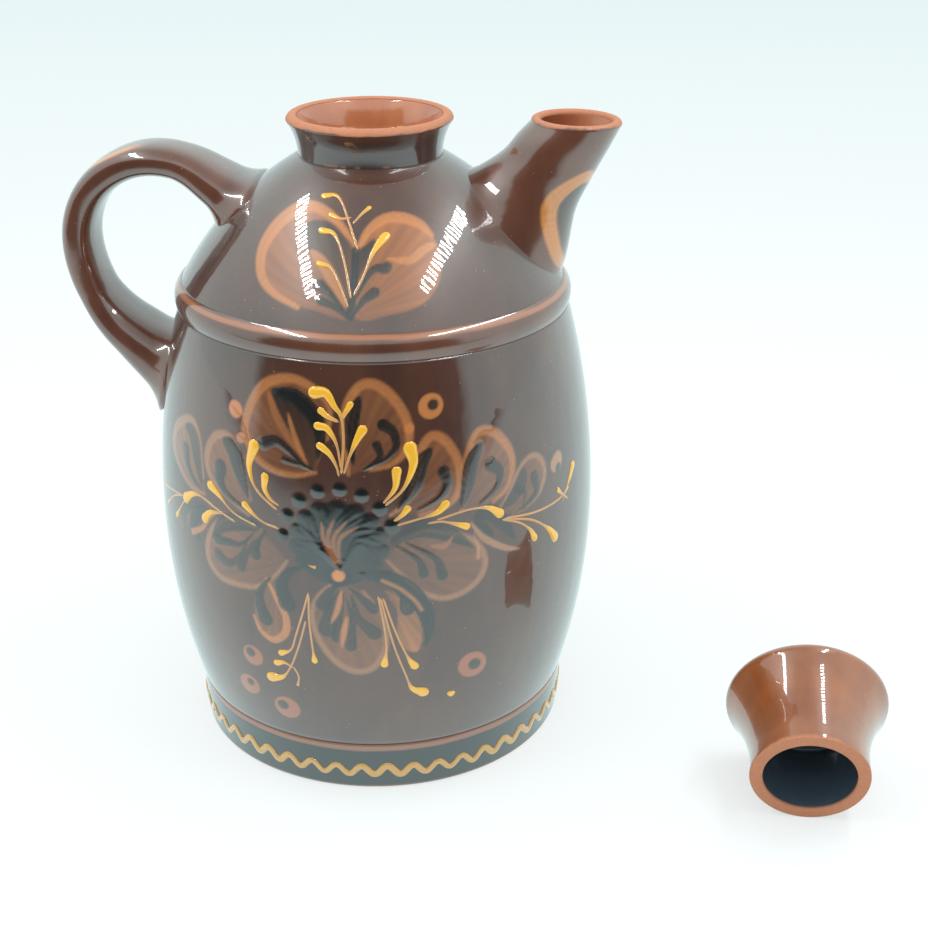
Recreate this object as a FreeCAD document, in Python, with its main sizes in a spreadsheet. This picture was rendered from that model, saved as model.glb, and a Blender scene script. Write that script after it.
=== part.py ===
"""Glazed earthenware pouring jug with a strap handle, a side spout and a loose hollow stopper.

Millimetres, +Z up. The origin is the centre of the jug's flat foot, on the surface it stands on.
The handle lies along -X, the spout along +X, and the painted front faces -Y.

The jug is a stack of thrown clay rings luted together: barrel, shoulder bead, dome and neck collar.
A band of clay wraps the foot. The strap handle and the spout are joined to the wall with pads and a
skirt of soft clay. The stopper is thrown by itself and lies on its side next to the jug.
"""
import FreeCAD, Part
import os
import math
import Sketcher

Vector = FreeCAD.Vector
Rotation = FreeCAD.Rotation
Placement = FreeCAD.Placement

# ---------------------------------------------------------------- driving sizes, in mm and degrees
SIZES = [
    # foot
    ("foot_radius", 85.0, "bottom edge of the foot band"),
    ("foot_flare", 1.3, "how much wider the band is at its top"),
    ("foot_height", 23.5, "height of the foot band"),
    ("foot_band_thickness", 5.0, "clay of the band, measured at the bottom"),
    ("foot_edge_round", 1.4, "rounded outer edges of the band"),
    # barrel
    ("floor_thickness", 7.0, "clay of the floor"),
    ("heel_wall", 13.0, "clay between the band and the inside edge of the floor"),
    ("wall", 6.0, "clay of the barrel and the dome"),
    ("belly_overhang", 12.1, "widest radius beyond the top of the foot band"),
    ("belly_rise", 83.5, "from the foot band up to the widest place"),
    ("shoulder_rise", 95.0, "from the widest place up to the barrel's top"),
    ("shoulder_set_in", 12.9, "how far the barrel's top stands inside the belly"),
    ("barrel_edge_round", 1.2, "rounded lower edge of the barrel, above the band"),
    # bead and dome
    ("bead_height", 11.5, "height of the shoulder bead"),
    ("bead_set_in", 2.7, "how far the bead's top stands inside its foot"),
    ("bead_swell", 2.4, "how far the bead stands out from a flat ring"),
    ("dome_rise", 52.0, "height of the dome"),
    ("dome_bulge", 5.0, "how far the dome stands out from a plain cone"),
    # neck
    ("neck_radius", 30.8, "outside of the neck where it meets the dome"),
    ("neck_wall", 4.8, "clay of the neck"),
    ("neck_rise", 14.3, "from the dome up to the outer edge of the lip"),
    ("neck_flare", 4.6, "how much wider the lip is than the neck"),
    ("neck_curve", 1.0, "how far the neck's outline bows in"),
    ("lip_slope", 1.5, "how much higher the lip's inner edge is"),
    ("lip_crown", 1.7, "how far the lip's rounded top stands up"),
    # handle
    ("strap_width", 30.0, "width of the strap handle"),
    ("strap_thickness", 12.0, "thickness of the strap handle"),
    ("handle_reach", 32.2, "strap's middle line beyond the belly, at its furthest"),
    ("handle_bow_rise", 25.9, "height of that furthest place above the barrel's top"),
    ("handle_top_bend", 34.2, "radius of the upper bend, on the middle line"),
    ("handle_low_bend", 60.0, "radius of the lower bend, on the middle line"),
    ("handle_top_root", 45.0, "radius at which the middle line ends inside the dome"),
    ("handle_top_depth", 14.0, "depth of that end under the dome's surface"),
    ("handle_foot_drop", 47.0, "lower end of the middle line below the barrel's top"),
    ("handle_foot_depth", 14.0, "depth of that end under the barrel's surface"),
    ("top_pad_length", 30.0, "length of the upper clay pad, with its part in the wall"),
    ("top_pad_width", 50.0, "width of the upper pad at the wall"),
    ("top_pad_thickness", 26.0, "thickness of the upper pad at the wall"),
    ("foot_pad_length", 42.0, "length of the lower clay pad, with its part in the wall"),
    ("foot_pad_width", 44.0, "width of the lower pad at the wall"),
    ("foot_pad_thickness", 34.0, "thickness of the lower pad at the wall"),
    # spout
    ("spout_root", 63.5, "radius at which the spout's middle line meets the dome"),
    ("spout_sink", 9.0, "depth to which the skirt's outline runs on below the dome"),
    ("bore_overrun", 6.0, "how far the spout's bore runs on inside the dome"),
    ("skirt_radius", 33.0, "radius of the skirt at that depth"),
    ("root_radius", 28.0, "radius of the skirt on the dome"),
    ("root_tilt", 44.0, "lean of the spout's section on the dome"),
    ("waist_radius", 20.6, "radius of the spout where the skirt ends"),
    ("waist_rise", 12.5, "height of that place above the root"),
    ("waist_lean", 5.5, "how far that place lies outside the root"),
    ("waist_tilt", 28.0, "lean of the section there"),
    ("throat_radius", 18.8, "radius of the spout's narrowest place"),
    ("throat_rise", 23.0, "height of that place above the root"),
    ("throat_lean", 12.5, "how far that place lies outside the root"),
    ("throat_tilt", 15.0, "lean of the section there"),
    ("mouth_radius", 19.8, "outer radius of the spout's mouth"),
    ("mouth_rise", 40.5, "height of the mouth above the root"),
    ("mouth_lean", 22.5, "how far the mouth lies outside the root"),
    ("spout_wall", 4.8, "clay of the spout"),
    ("spout_lip_round", 1.6, "rounded outer edge of the spout's mouth"),
    # stopper
    ("stopper_clearance", 0.6, "gap all round between the stopper and the neck"),
    ("stopper_wall", 5.6, "clay of the stopper"),
    ("stopper_flare", 10.0, "how much wider the stopper's closed end is"),
    ("stopper_straight", 8.0, "straight length at the open end"),
    ("stopper_head", 43.0, "from the open end to the widest place"),
    ("stopper_edge", 4.0, "radius of the rounded edge of the closed end"),
    ("stopper_hollow_round", 3.0, "rounded corner at the bottom of the stopper's hollow"),
    ("stopper_rim_round", 1.0, "rounded edge of the open end"),
    ("stopper_place_x", 196.2, "where the open end's centre lies, to the right"),
    ("stopper_place_y", -93.8, "where the open end's centre lies, front to back"),
    ("stopper_heading", 2.4, "turn of the stopper's axis from +Y towards +X"),
]

# ---------------------------------------------------------------- sizes that follow from them
DERIVED = [
    # barrel: two arcs whose centres are level with the belly
    ("heel_radius", "Sizes.foot_radius + Sizes.foot_flare"),
    ("band_bore", "Sizes.foot_radius - Sizes.foot_band_thickness"),
    ("belly_radius", "heel_radius + Sizes.belly_overhang"),
    ("belly_z", "Sizes.foot_height + Sizes.belly_rise"),
    ("shoulder_radius", "belly_radius - Sizes.shoulder_set_in"),
    ("shoulder_z", "belly_z + Sizes.shoulder_rise"),
    ("low_arc", "(Sizes.belly_rise^2 + Sizes.belly_overhang^2) / (2 * Sizes.belly_overhang)"),
    ("high_arc", "(Sizes.shoulder_rise^2 + Sizes.shoulder_set_in^2) / (2 * Sizes.shoulder_set_in)"),
    ("high_arc_inside", "high_arc - Sizes.wall"),
    ("belly_inside", "belly_radius - Sizes.wall"),
    ("floor_inside", "band_bore - Sizes.heel_wall"),
    ("inside_rise", "belly_z - Sizes.floor_thickness"),
    ("inside_swell", "belly_inside - floor_inside"),
    ("low_arc_inside", "(inside_rise^2 + inside_swell^2) / (2 * inside_swell)"),
    ("shoulder_inside", "belly_radius - high_arc + sqrt(high_arc_inside^2 - Sizes.shoulder_rise^2)"),
    # dome: one arc over the chord from the bead to the neck
    ("dome_radius", "shoulder_radius - Sizes.bead_set_in"),
    ("dome_z", "shoulder_z + Sizes.bead_height"),
    ("neck_z", "dome_z + Sizes.dome_rise"),
    ("bead_chord", "sqrt(Sizes.bead_height^2 + Sizes.bead_set_in^2)"),
    ("bead_arc", "(bead_chord^2 / 4 + Sizes.bead_swell^2) / (2 * Sizes.bead_swell)"),
    ("dome_run", "dome_radius - Sizes.neck_radius"),
    ("dome_chord", "sqrt(dome_run^2 + Sizes.dome_rise^2)"),
    ("dome_arc", "(dome_chord^2 / 4 + Sizes.dome_bulge^2) / (2 * Sizes.dome_bulge)"),
    ("dome_arc_inside", "dome_arc - Sizes.wall"),
    ("dome_offset", "dome_arc - Sizes.dome_bulge"),
    ("dome_centre_r", "(dome_radius + Sizes.neck_radius) / 2 - dome_offset * Sizes.dome_rise / dome_chord"),
    ("dome_centre_z", "(dome_z + neck_z) / 2 - dome_offset * dome_run / dome_chord"),
    ("neck_bore", "Sizes.neck_radius - Sizes.neck_wall"),
    ("dome_inside", "dome_centre_r + sqrt(dome_arc_inside^2 - (dome_z - dome_centre_z)^2)"),
    ("dome_roof", "dome_centre_z + sqrt(dome_arc_inside^2 - (neck_bore - dome_centre_r)^2)"),
    # neck collar
    ("lip_z", "neck_z + Sizes.neck_rise"),
    ("lip_radius", "Sizes.neck_radius + Sizes.neck_flare"),
    ("lip_inner_z", "lip_z + Sizes.lip_slope"),
    ("lip_inside", "lip_radius - Sizes.neck_wall"),
    ("lip_chord", "sqrt(Sizes.neck_wall^2 + Sizes.lip_slope^2)"),
    ("lip_arc", "(lip_chord^2 / 4 + Sizes.lip_crown^2) / (2 * Sizes.lip_crown)"),
    ("neck_chord", "sqrt(Sizes.neck_flare^2 + Sizes.neck_rise^2)"),
    ("neck_arc", "(neck_chord^2 / 4 + Sizes.neck_curve^2) / (2 * Sizes.neck_curve)"),
    ("neck_arc_inside", "neck_arc + Sizes.neck_wall"),
    # handle, drawn along +X and turned round afterwards: two bends with their centres on one level,
    # and straight runs that touch them from the two ends inside the wall
    ("bow_r", "belly_radius + Sizes.handle_reach"),
    ("bow_z", "shoulder_z + Sizes.handle_bow_rise"),
    ("top_centre_r", "bow_r - Sizes.handle_top_bend"),
    ("low_centre_r", "bow_r - Sizes.handle_low_bend"),
    ("top_end_r", "Sizes.handle_top_root"),
    ("top_skin_z", "dome_centre_z + sqrt(dome_arc^2 - (top_end_r - dome_centre_r)^2)"),
    ("top_end_z", "top_skin_z - Sizes.handle_top_depth"),
    ("top_dr", "top_end_r - top_centre_r"),
    ("top_dz", "top_end_z - bow_z"),
    ("top_square", "top_dr^2 + top_dz^2"),
    ("top_run", "sqrt(top_square - Sizes.handle_top_bend^2)"),
    ("top_along", "Sizes.handle_top_bend^2 / top_square"),
    ("top_across", "Sizes.handle_top_bend * top_run / top_square"),
    ("top_touch_r", "top_centre_r + top_along * top_dr + top_across * top_dz"),
    ("top_touch_z", "bow_z + top_along * top_dz - top_across * top_dr"),
    ("top_way_r", "(top_touch_r - top_end_r) / top_run"),
    ("top_way_z", "(top_touch_z - top_end_z) / top_run"),
    ("strap_top_r", "top_end_r + Sizes.top_pad_length * top_way_r"),
    ("strap_top_z", "top_end_z + Sizes.top_pad_length * top_way_z"),
    ("top_lean", "90 - atan2(top_way_z; top_way_r) / 1deg"),
    ("foot_end_z", "shoulder_z - Sizes.handle_foot_drop"),
    ("foot_skin_r", "belly_radius - high_arc + sqrt(high_arc^2 - (foot_end_z - belly_z)^2)"),
    ("foot_end_r", "foot_skin_r - Sizes.handle_foot_depth"),
    ("low_dr", "foot_end_r - low_centre_r"),
    ("low_dz", "foot_end_z - bow_z"),
    ("low_square", "low_dr^2 + low_dz^2"),
    ("low_run", "sqrt(low_square - Sizes.handle_low_bend^2)"),
    ("low_along", "Sizes.handle_low_bend^2 / low_square"),
    ("low_across", "Sizes.handle_low_bend * low_run / low_square"),
    ("low_touch_r", "low_centre_r + low_along * low_dr - low_across * low_dz"),
    ("low_touch_z", "bow_z + low_along * low_dz + low_across * low_dr"),
    ("low_way_r", "(low_touch_r - foot_end_r) / low_run"),
    ("low_way_z", "(low_touch_z - foot_end_z) / low_run"),
    ("strap_foot_r", "foot_end_r + Sizes.foot_pad_length * low_way_r"),
    ("strap_foot_z", "foot_end_z + Sizes.foot_pad_length * low_way_z"),
    ("foot_lean", "90 - atan2(low_way_z; low_way_r) / 1deg"),
    # spout: four sections above the dome and one below it
    ("root_z", "dome_centre_z + sqrt(dome_arc^2 - (Sizes.spout_root - dome_centre_r)^2)"),
    ("sunk_r", "Sizes.spout_root - Sizes.spout_sink * (Sizes.spout_root - dome_centre_r) / dome_arc"),
    ("sunk_z", "root_z - Sizes.spout_sink * (root_z - dome_centre_z) / dome_arc"),
    ("bore_depth", "Sizes.wall + Sizes.bore_overrun"),
    ("deep_r", "Sizes.spout_root - bore_depth * (Sizes.spout_root - dome_centre_r) / dome_arc"),
    ("deep_z", "root_z - bore_depth * (root_z - dome_centre_z) / dome_arc"),
    ("waist_r", "Sizes.spout_root + Sizes.waist_lean"),
    ("waist_z", "root_z + Sizes.waist_rise"),
    ("throat_r", "Sizes.spout_root + Sizes.throat_lean"),
    ("throat_z", "root_z + Sizes.throat_rise"),
    ("mouth_r", "Sizes.spout_root + Sizes.mouth_lean"),
    ("mouth_z", "root_z + Sizes.mouth_rise"),
    ("waist_bore", "Sizes.waist_radius - Sizes.spout_wall"),
    ("throat_bore", "Sizes.throat_radius - Sizes.spout_wall"),
    ("mouth_bore", "Sizes.mouth_radius - Sizes.spout_wall"),
    # stopper: straight neck, hollow curve and rounded edge, each touching the next
    ("plug_radius", "neck_bore - Sizes.stopper_clearance"),
    ("plug_inside", "plug_radius - Sizes.stopper_wall"),
    ("head_radius", "plug_radius + Sizes.stopper_flare"),
    ("edge_r", "head_radius - Sizes.stopper_edge"),
    ("stopper_length", "Sizes.stopper_head + Sizes.stopper_edge"),
    ("hollow_dr", "plug_radius - edge_r"),
    ("hollow_dz", "Sizes.stopper_head - Sizes.stopper_straight"),
    ("hollow_reach", "hollow_dr^2 + hollow_dz^2 - Sizes.stopper_edge^2"),
    ("hollow_arc", "hollow_reach / (2 * (Sizes.stopper_edge - hollow_dr))"),
    ("hollow_arc_inside", "hollow_arc + Sizes.stopper_wall"),
    ("hollow_share", "hollow_arc / (hollow_arc + Sizes.stopper_edge)"),
    ("hollow_centre_r", "plug_radius + hollow_arc"),
    ("touch_r", "hollow_centre_r + hollow_share * (edge_r - hollow_centre_r)"),
    ("touch_z", "Sizes.stopper_straight + hollow_share * hollow_dz"),
    ("stopper_roof", "stopper_length - Sizes.stopper_wall"),
    ("roof_dz", "stopper_roof - Sizes.stopper_straight"),
    ("roof_r", "hollow_centre_r - sqrt(hollow_arc_inside^2 - roof_dz^2)"),
    # its rest on the floor: the line that touches the open end's rim and the closed end's edge
    ("rest_dr", "edge_r - (plug_radius - Sizes.stopper_rim_round)"),
    ("rest_dz", "Sizes.stopper_head - Sizes.stopper_rim_round"),
    ("rest_tilt", "(atan2(rest_dr; rest_dz) + asin((Sizes.stopper_edge - Sizes.stopper_rim_round)"
                  " / sqrt(rest_dr^2 + rest_dz^2))) / 1deg"),
    ("rest_height", "Sizes.stopper_rim_round * (1 - sin(rest_tilt)) + "
                    "(plug_radius - Sizes.stopper_rim_round) * cos(rest_tilt)"),
    ("rest_turn", "90 - rest_tilt"),
]

# ---------------------------------------------------------------- the document and its two sheets
doc = FreeCAD.newDocument("jug")


def fill_sheet(name, rows, as_text):
    """One row for each value: the value, its alias and a note on what it is."""
    sheet = doc.addObject("Spreadsheet::Sheet", name)
    for line, row in enumerate(rows, start=1):
        alias, content = row[0], row[1]
        sheet.set(f"A{line}", as_text(content))
        sheet.setAlias(f"A{line}", alias)
        sheet.set(f"B{line}", row[2] if len(row) > 2 else alias.replace("_", " "))
    return sheet


sizes = fill_sheet("Sizes", SIZES, str)
derived = fill_sheet("Derived", DERIVED, lambda formula: "=" + formula)
doc.recompute()
DRIVING = {row[0] for row in SIZES}


def cell(alias):
    """The name of a value as an expression writes it."""
    return ("Sizes." if alias in DRIVING else "Derived.") + alias


def value(alias):
    """The same value as a number, for drawing a sketch close to where its constraints put it."""
    found = getattr(sizes if alias in DRIVING else derived, alias)
    return float(getattr(found, "Value", found))


def bind(item, prop, expression):
    item.setExpression(prop, expression)


# ---------------------------------------------------------------- drawing
TOLERANCE = 0.001
LEFT, RIGHT = 1, -1


def arc_through(start, end, radius, side):
    """A circular arc between two points, bulging to one side of the way from start to end."""
    chord = end - start
    half = chord.Length / 2
    across = Vector(-chord.y, chord.x, 0) / chord.Length * side
    rise = radius - math.sqrt(max(radius * radius - half * half, 0.0))
    middle = (start + end) / 2 + across * rise
    # a sketch holds its arcs anticlockwise
    return Part.Arc(start, middle, end) if side == RIGHT else Part.Arc(end, middle, start)


def draw(sketch, corners, closed=True):
    """Lines and arcs from corner to corner. A corner is (r, z, arc): r and z are aliases, or None
    on the axis or on the ground line, and arc is None or (radius alias, side) for the edge that
    leaves the corner. Every corner is held by its two sizes and every arc by its radius."""
    points = [Vector(value(r) if r else 0, value(z) if z else 0, 0) for r, z, _ in corners]
    count = len(corners) if closed else len(corners) - 1
    ends = []
    for index in range(count):
        start, end = points[index], points[(index + 1) % len(points)]
        arc = corners[index][2]
        shape = arc_through(start, end, value(arc[0]), arc[1]) if arc else Part.LineSegment(start, end)
        edge = sketch.addGeometry(shape)
        first = (sketch.Geometry[edge].StartPoint - start).Length
        swapped = first > (sketch.Geometry[edge].EndPoint - start).Length
        ends.append((edge, 2, 1) if swapped else (edge, 1, 2))
        if arc:
            number = sketch.addConstraint(Sketcher.Constraint("Radius", edge, value(arc[0])))
            bind(sketch, f"Constraints[{number}]", cell(arc[0]))
    for index in range(count if closed else count - 1):
        following = ends[(index + 1) % count]
        sketch.addConstraint(Sketcher.Constraint("Coincident", ends[index][0], ends[index][2],
                                                 following[0], following[1]))
    for index, (r, z, _) in enumerate(corners):
        edge, point = (ends[index][0], ends[index][1]) if index < count else (ends[-1][0], ends[-1][2])
        for alias, kind, axis in ((r, "DistanceX", -2), (z, "DistanceY", -1)):
            if alias is None:
                sketch.addConstraint(Sketcher.Constraint("PointOnObject", edge, point, axis))
            else:
                number = sketch.addConstraint(
                    Sketcher.Constraint(kind, -1, 1, edge, point, value(alias)))
                bind(sketch, f"Constraints[{number}]", cell(alias))


def turned_body(name, corners):
    """A thrown ring or vessel: its section on the XZ plane, turned once round the Z axis."""
    body = doc.addObject("PartDesign::Body", name)
    sketch = body.newObject("Sketcher::SketchObject", name + "_section")
    plane = next(item for item in body.Origin.OriginFeatures if item.Role == "XZ_Plane")
    sketch.AttachmentSupport = (plane, [""])
    sketch.MapMode = "FlatFace"
    doc.recompute()
    draw(sketch, corners)
    doc.recompute()
    turn = body.newObject("PartDesign::Revolution", name + "_turning")
    turn.Profile = sketch
    turn.ReferenceAxis = (sketch, ["V_Axis"])
    turn.Angle = 360
    doc.recompute()
    return body


def lies_on_circle(edge, centre, radius):
    """True where every point of the edge is at one height and one distance from the centre."""
    return all(abs(point.z - centre.z) < TOLERANCE and abs((point - centre).Length - radius) < TOLERANCE
               for point in edge.discretize(5))


def round_edges(body, places, radius_alias):
    """Round the circular edges that lie at the given (radius, height) places."""
    turned = body.Tip
    edges = [
        f"Edge{number}" for number, edge in enumerate(body.Shape.Edges, start=1)
        if any(lies_on_circle(edge, Vector(0, 0, z), r) for r, z in places)
    ]
    fillet = body.newObject("PartDesign::Fillet", body.Name + "_rounding")
    fillet.Base = (turned, edges)
    bind(fillet, "Radius", cell(radius_alias))
    doc.recompute()


def set_section(item, x, z, lean):
    """Put a flat section in the XZ plane's frame at (x, z), with its normal leaning from +Z to +X."""
    angle = max(value(lean), TOLERANCE) if lean else 0
    item.Placement = Placement(Vector(), Rotation(Vector(0, 1, 0), angle))
    bind(item, "Placement.Base.x", cell(x))
    bind(item, "Placement.Base.z", cell(z))
    if lean:
        bind(item, "Placement.Rotation.Angle", cell(lean))


def ring(name, x, z, lean, radius):
    circle = doc.addObject("Part::Circle", name)
    set_section(circle, x, z, lean)
    bind(circle, "Radius", cell(radius))
    return circle


def flat_oval(name, x, z, lean, thickness, width):
    """The section of a strap: two flat faces with half-round edges, wide along Y."""
    sketch = doc.addObject("Sketcher::SketchObject", name)
    half = value(thickness) / 2
    reach = value(width) / 2 - half
    right = sketch.addGeometry(Part.LineSegment(Vector(half, -reach, 0), Vector(half, reach, 0)))
    left = sketch.addGeometry(Part.LineSegment(Vector(-half, reach, 0), Vector(-half, -reach, 0)))
    circle = Part.Circle(Vector(0, reach, 0), Vector(0, 0, 1), half)
    top = sketch.addGeometry(Part.ArcOfCircle(circle, 0, math.pi))
    circle = Part.Circle(Vector(0, -reach, 0), Vector(0, 0, 1), half)
    bottom = sketch.addGeometry(Part.ArcOfCircle(circle, math.pi, 2 * math.pi))
    for arc, first, second in ((top, right, left), (bottom, left, right)):
        sketch.addConstraint(Sketcher.Constraint("Tangent", first, 2, arc, 1))
        sketch.addConstraint(Sketcher.Constraint("Tangent", arc, 2, second, 1))
    sketch.addConstraint(Sketcher.Constraint("Vertical", right))
    sketch.addConstraint(Sketcher.Constraint("PointOnObject", top, 3, -2))
    sketch.addConstraint(Sketcher.Constraint("Symmetric", top, 3, bottom, 3, -1, 1))
    number = sketch.addConstraint(Sketcher.Constraint("Radius", top, half))
    bind(sketch, f"Constraints[{number}]", cell(thickness) + " / 2")
    number = sketch.addConstraint(Sketcher.Constraint("Distance", bottom, 3, top, 3, 2 * reach))
    bind(sketch, f"Constraints[{number}]", cell(width) + " - " + cell(thickness))
    set_section(sketch, x, z, lean)
    doc.recompute()
    return sketch


def loft(name, sections):
    item = doc.addObject("Part::Loft", name)
    item.Sections = sections
    item.Solid = True
    return item


def cut(name, base, tool):
    item = doc.addObject("Part::Cut", name)
    item.Base = base
    item.Tool = tool
    doc.recompute()
    return item


# ---------------------------------------------------------------- outlines that several pieces share
BARREL_OUTSIDE = [
    ("heel_radius", "foot_height", ("low_arc", RIGHT)),
    ("belly_radius", "belly_z", ("high_arc", RIGHT)),
]
BEAD_OUTSIDE = [("shoulder_radius", "shoulder_z", ("bead_arc", RIGHT))]
DOME_OUTSIDE = [("dome_radius", "dome_z", ("dome_arc", RIGHT))]


# ---------------------------------------------------------------- the thrown rings of the jug
def make_barrel():
    """Floor and wall thrown in one, open at the shoulder. Its heel sits on the foot band."""
    body = turned_body("barrel", [
        (None, None, None),
        ("band_bore", None, None),
        ("band_bore", "foot_height", None),
        *BARREL_OUTSIDE,
        ("shoulder_radius", "shoulder_z", None),
        ("shoulder_inside", "shoulder_z", ("high_arc_inside", LEFT)),
        ("belly_inside", "belly_z", ("low_arc_inside", LEFT)),
        ("floor_inside", "floor_thickness", None),
        (None, "floor_thickness", None),
    ])
    round_edges(body, [(value("heel_radius"), value("foot_height"))], "barrel_edge_round")
    return body


def make_foot_band():
    """The band of clay round the foot, flush with the floor and with its edges rounded."""
    body = turned_body("foot_band", [
        ("band_bore", None, None),
        ("foot_radius", None, None),
        ("heel_radius", "foot_height", None),
        ("band_bore", "foot_height", None),
    ])
    round_edges(body, [(value("foot_radius"), 0), (value("heel_radius"), value("foot_height"))],
                "foot_edge_round")
    return body


def make_shoulder_bead():
    """The raised ring that joins the barrel and the dome."""
    return turned_body("shoulder_bead", [
        *BEAD_OUTSIDE,
        ("dome_radius", "dome_z", None),
        ("dome_inside", "dome_z", None),
        ("shoulder_inside", "shoulder_z", None),
    ])


def make_dome_blank():
    """The dome before the spout's hole is cut."""
    return turned_body("dome_blank", [
        *DOME_OUTSIDE,
        ("neck_radius", "neck_z", None),
        ("neck_bore", "neck_z", None),
        ("neck_bore", "dome_roof", ("dome_arc_inside", LEFT)),
        ("dome_inside", "dome_z", None),
    ])


def make_neck_collar():
    """The flared neck that the stopper sits in. It stands on the dome's rim."""
    return turned_body("neck_collar", [
        ("neck_bore", "neck_z", None),
        ("neck_radius", "neck_z", ("neck_arc", LEFT)),
        ("lip_radius", "lip_z", ("lip_arc", RIGHT)),
        ("lip_inside", "lip_inner_z", ("neck_arc_inside", RIGHT)),
    ])


def make_core():
    """The jug's outer form filled solid, used to trim what is joined to its wall."""
    return turned_body("core", [
        (None, None, None),
        ("foot_radius", None, None),
        *BARREL_OUTSIDE,
        *BEAD_OUTSIDE,
        *DOME_OUTSIDE,
        ("neck_radius", "neck_z", None),
        (None, "neck_z", None),
    ])


# ---------------------------------------------------------------- handle and its pads
def make_handle(core):
    """Three pieces drawn along +X and turned half round: the strap, and a pad at each end of it."""
    path = doc.addObject("Sketcher::SketchObject", "handle_path")
    path.Placement = Placement(Vector(), Rotation(Vector(1, 0, 0), 90))
    draw(path, [
        ("strap_top_r", "strap_top_z", None),
        ("top_touch_r", "top_touch_z", ("handle_top_bend", LEFT)),
        ("bow_r", "bow_z", ("handle_low_bend", LEFT)),
        ("low_touch_r", "low_touch_z", None),
        ("strap_foot_r", "strap_foot_z", None),
    ], closed=False)
    strap = ("strap_thickness", "strap_width")
    top_end = flat_oval("strap_top_end", "strap_top_r", "strap_top_z", "top_lean", *strap)
    foot_end = flat_oval("strap_foot_end", "strap_foot_r", "strap_foot_z", "foot_lean", *strap)
    top_wall = flat_oval("top_pad_wall", "top_end_r", "top_end_z", "top_lean",
                         "top_pad_thickness", "top_pad_width")
    foot_wall = flat_oval("foot_pad_wall", "foot_end_r", "foot_end_z", "foot_lean",
                          "foot_pad_thickness", "foot_pad_width")
    strap_blank = doc.addObject("Part::Sweep", "strap_blank")
    strap_blank.Sections = [top_end]
    strap_blank.Spine = (path, ["Edge1", "Edge2", "Edge3", "Edge4"])
    strap_blank.Solid = True
    blanks = {
        "handle": strap_blank,
        "handle_top_pad": loft("top_pad_blank", [top_wall, top_end]),
        "handle_foot_pad": loft("foot_pad_blank", [foot_wall, foot_end]),
    }
    pieces = []
    for name, blank in blanks.items():
        piece = cut(name, blank, core)
        piece.Placement = Placement(Vector(), Rotation(Vector(0, 0, 1), 180))
        pieces.append(piece)
    return pieces


# ---------------------------------------------------------------- spout, its skirt and the pierced dome
def make_spout(core, dome_blank):
    """The spout, the skirt that joins it to the dome, and the dome with the hole under them."""
    waist = ring("waist_ring", "waist_r", "waist_z", "waist_tilt", "waist_radius")
    skirt_blank = loft("skirt_blank", [
        ring("sunk_ring", "sunk_r", "sunk_z", "root_tilt", "skirt_radius"),
        ring("root_ring", "spout_root", "root_z", "root_tilt", "root_radius"),
        waist,
    ])
    spout_blank = loft("spout_blank", [
        waist,
        ring("throat_ring", "throat_r", "throat_z", "throat_tilt", "throat_radius"),
        ring("mouth_ring", "mouth_r", "mouth_z", None, "mouth_radius"),
    ])
    bore = loft("spout_bore", [
        ring("deep_bore", "deep_r", "deep_z", "root_tilt", "waist_bore"),
        ring("waist_bore_ring", "waist_r", "waist_z", "waist_tilt", "waist_bore"),
        ring("throat_bore_ring", "throat_r", "throat_z", "throat_tilt", "throat_bore"),
        ring("mouth_bore_ring", "mouth_r", "mouth_z", None, "mouth_bore"),
    ])
    doc.recompute()
    tube = cut("spout_tube", spout_blank, bore)
    spout = doc.addObject("Part::Fillet", "spout")
    spout.Base = tube
    lip = value("spout_lip_round")
    centre = Vector(value("mouth_r"), 0, value("mouth_z"))
    spout.Edges = [
        (number, lip, lip) for number, edge in enumerate(tube.Shape.Edges, start=1)
        if lies_on_circle(edge, centre, value("mouth_radius"))
    ]
    skirt_outside = cut("skirt_outside", skirt_blank, core)
    skirt = cut("spout_skirt", skirt_outside, bore)
    dome = cut("shoulder_dome", dome_blank, bore)
    return [spout, skirt, dome]


# ---------------------------------------------------------------- stopper
def make_stopper():
    """A hollow plug, open at its narrow end, lying on its side on the ground."""
    body = turned_body("stopper", [
        ("plug_inside", None, None),
        ("plug_radius", None, None),
        ("plug_radius", "stopper_straight", ("hollow_arc", LEFT)),
        ("touch_r", "touch_z", ("stopper_edge", RIGHT)),
        ("head_radius", "stopper_head", ("stopper_edge", RIGHT)),
        ("edge_r", "stopper_length", None),
        (None, "stopper_length", None),
        (None, "stopper_roof", None),
        ("roof_r", "stopper_roof", ("hollow_arc_inside", RIGHT)),
        ("plug_inside", "stopper_straight", None),
    ])
    round_edges(body, [(value("plug_radius"), 0)], "stopper_rim_round")
    round_edges(body, [(value("roof_r"), value("stopper_roof"))], "stopper_hollow_round")
    heading = math.radians(value("stopper_heading"))
    hinge = Vector(-math.cos(heading), math.sin(heading), 0)
    body.Placement = Placement(Vector(), Rotation(hinge, value("rest_turn")))
    bind(body, "Placement.Base.x", cell("stopper_place_x"))
    bind(body, "Placement.Base.y", cell("stopper_place_y"))
    bind(body, "Placement.Base.z", cell("rest_height"))
    bind(body, "Placement.Rotation.Angle", cell("rest_turn"))
    doc.recompute()
    return body


# ---------------------------------------------------------------- build, check and write
core = make_core()
pieces = [
    make_barrel(),
    make_foot_band(),
    make_shoulder_bead(),
    make_neck_collar(),
    *make_handle(core),
    *make_spout(core, make_dome_blank()),
    make_stopper(),
]
doc.recompute()

for item in doc.Objects:
    if "Invalid" in item.State or "Error" in item.State:
        raise RuntimeError(f"{item.Name} did not build: {item.State}")
for piece in pieces:
    piece.Label = piece.Name
    if piece.Shape.isNull() or not piece.Shape.isValid():
        raise RuntimeError(f"{piece.Name} is not a sound solid")
    if len(piece.Shape.Solids) != 1:
        raise RuntimeError(f"{piece.Name} has {len(piece.Shape.Solids)} solids")

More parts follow.
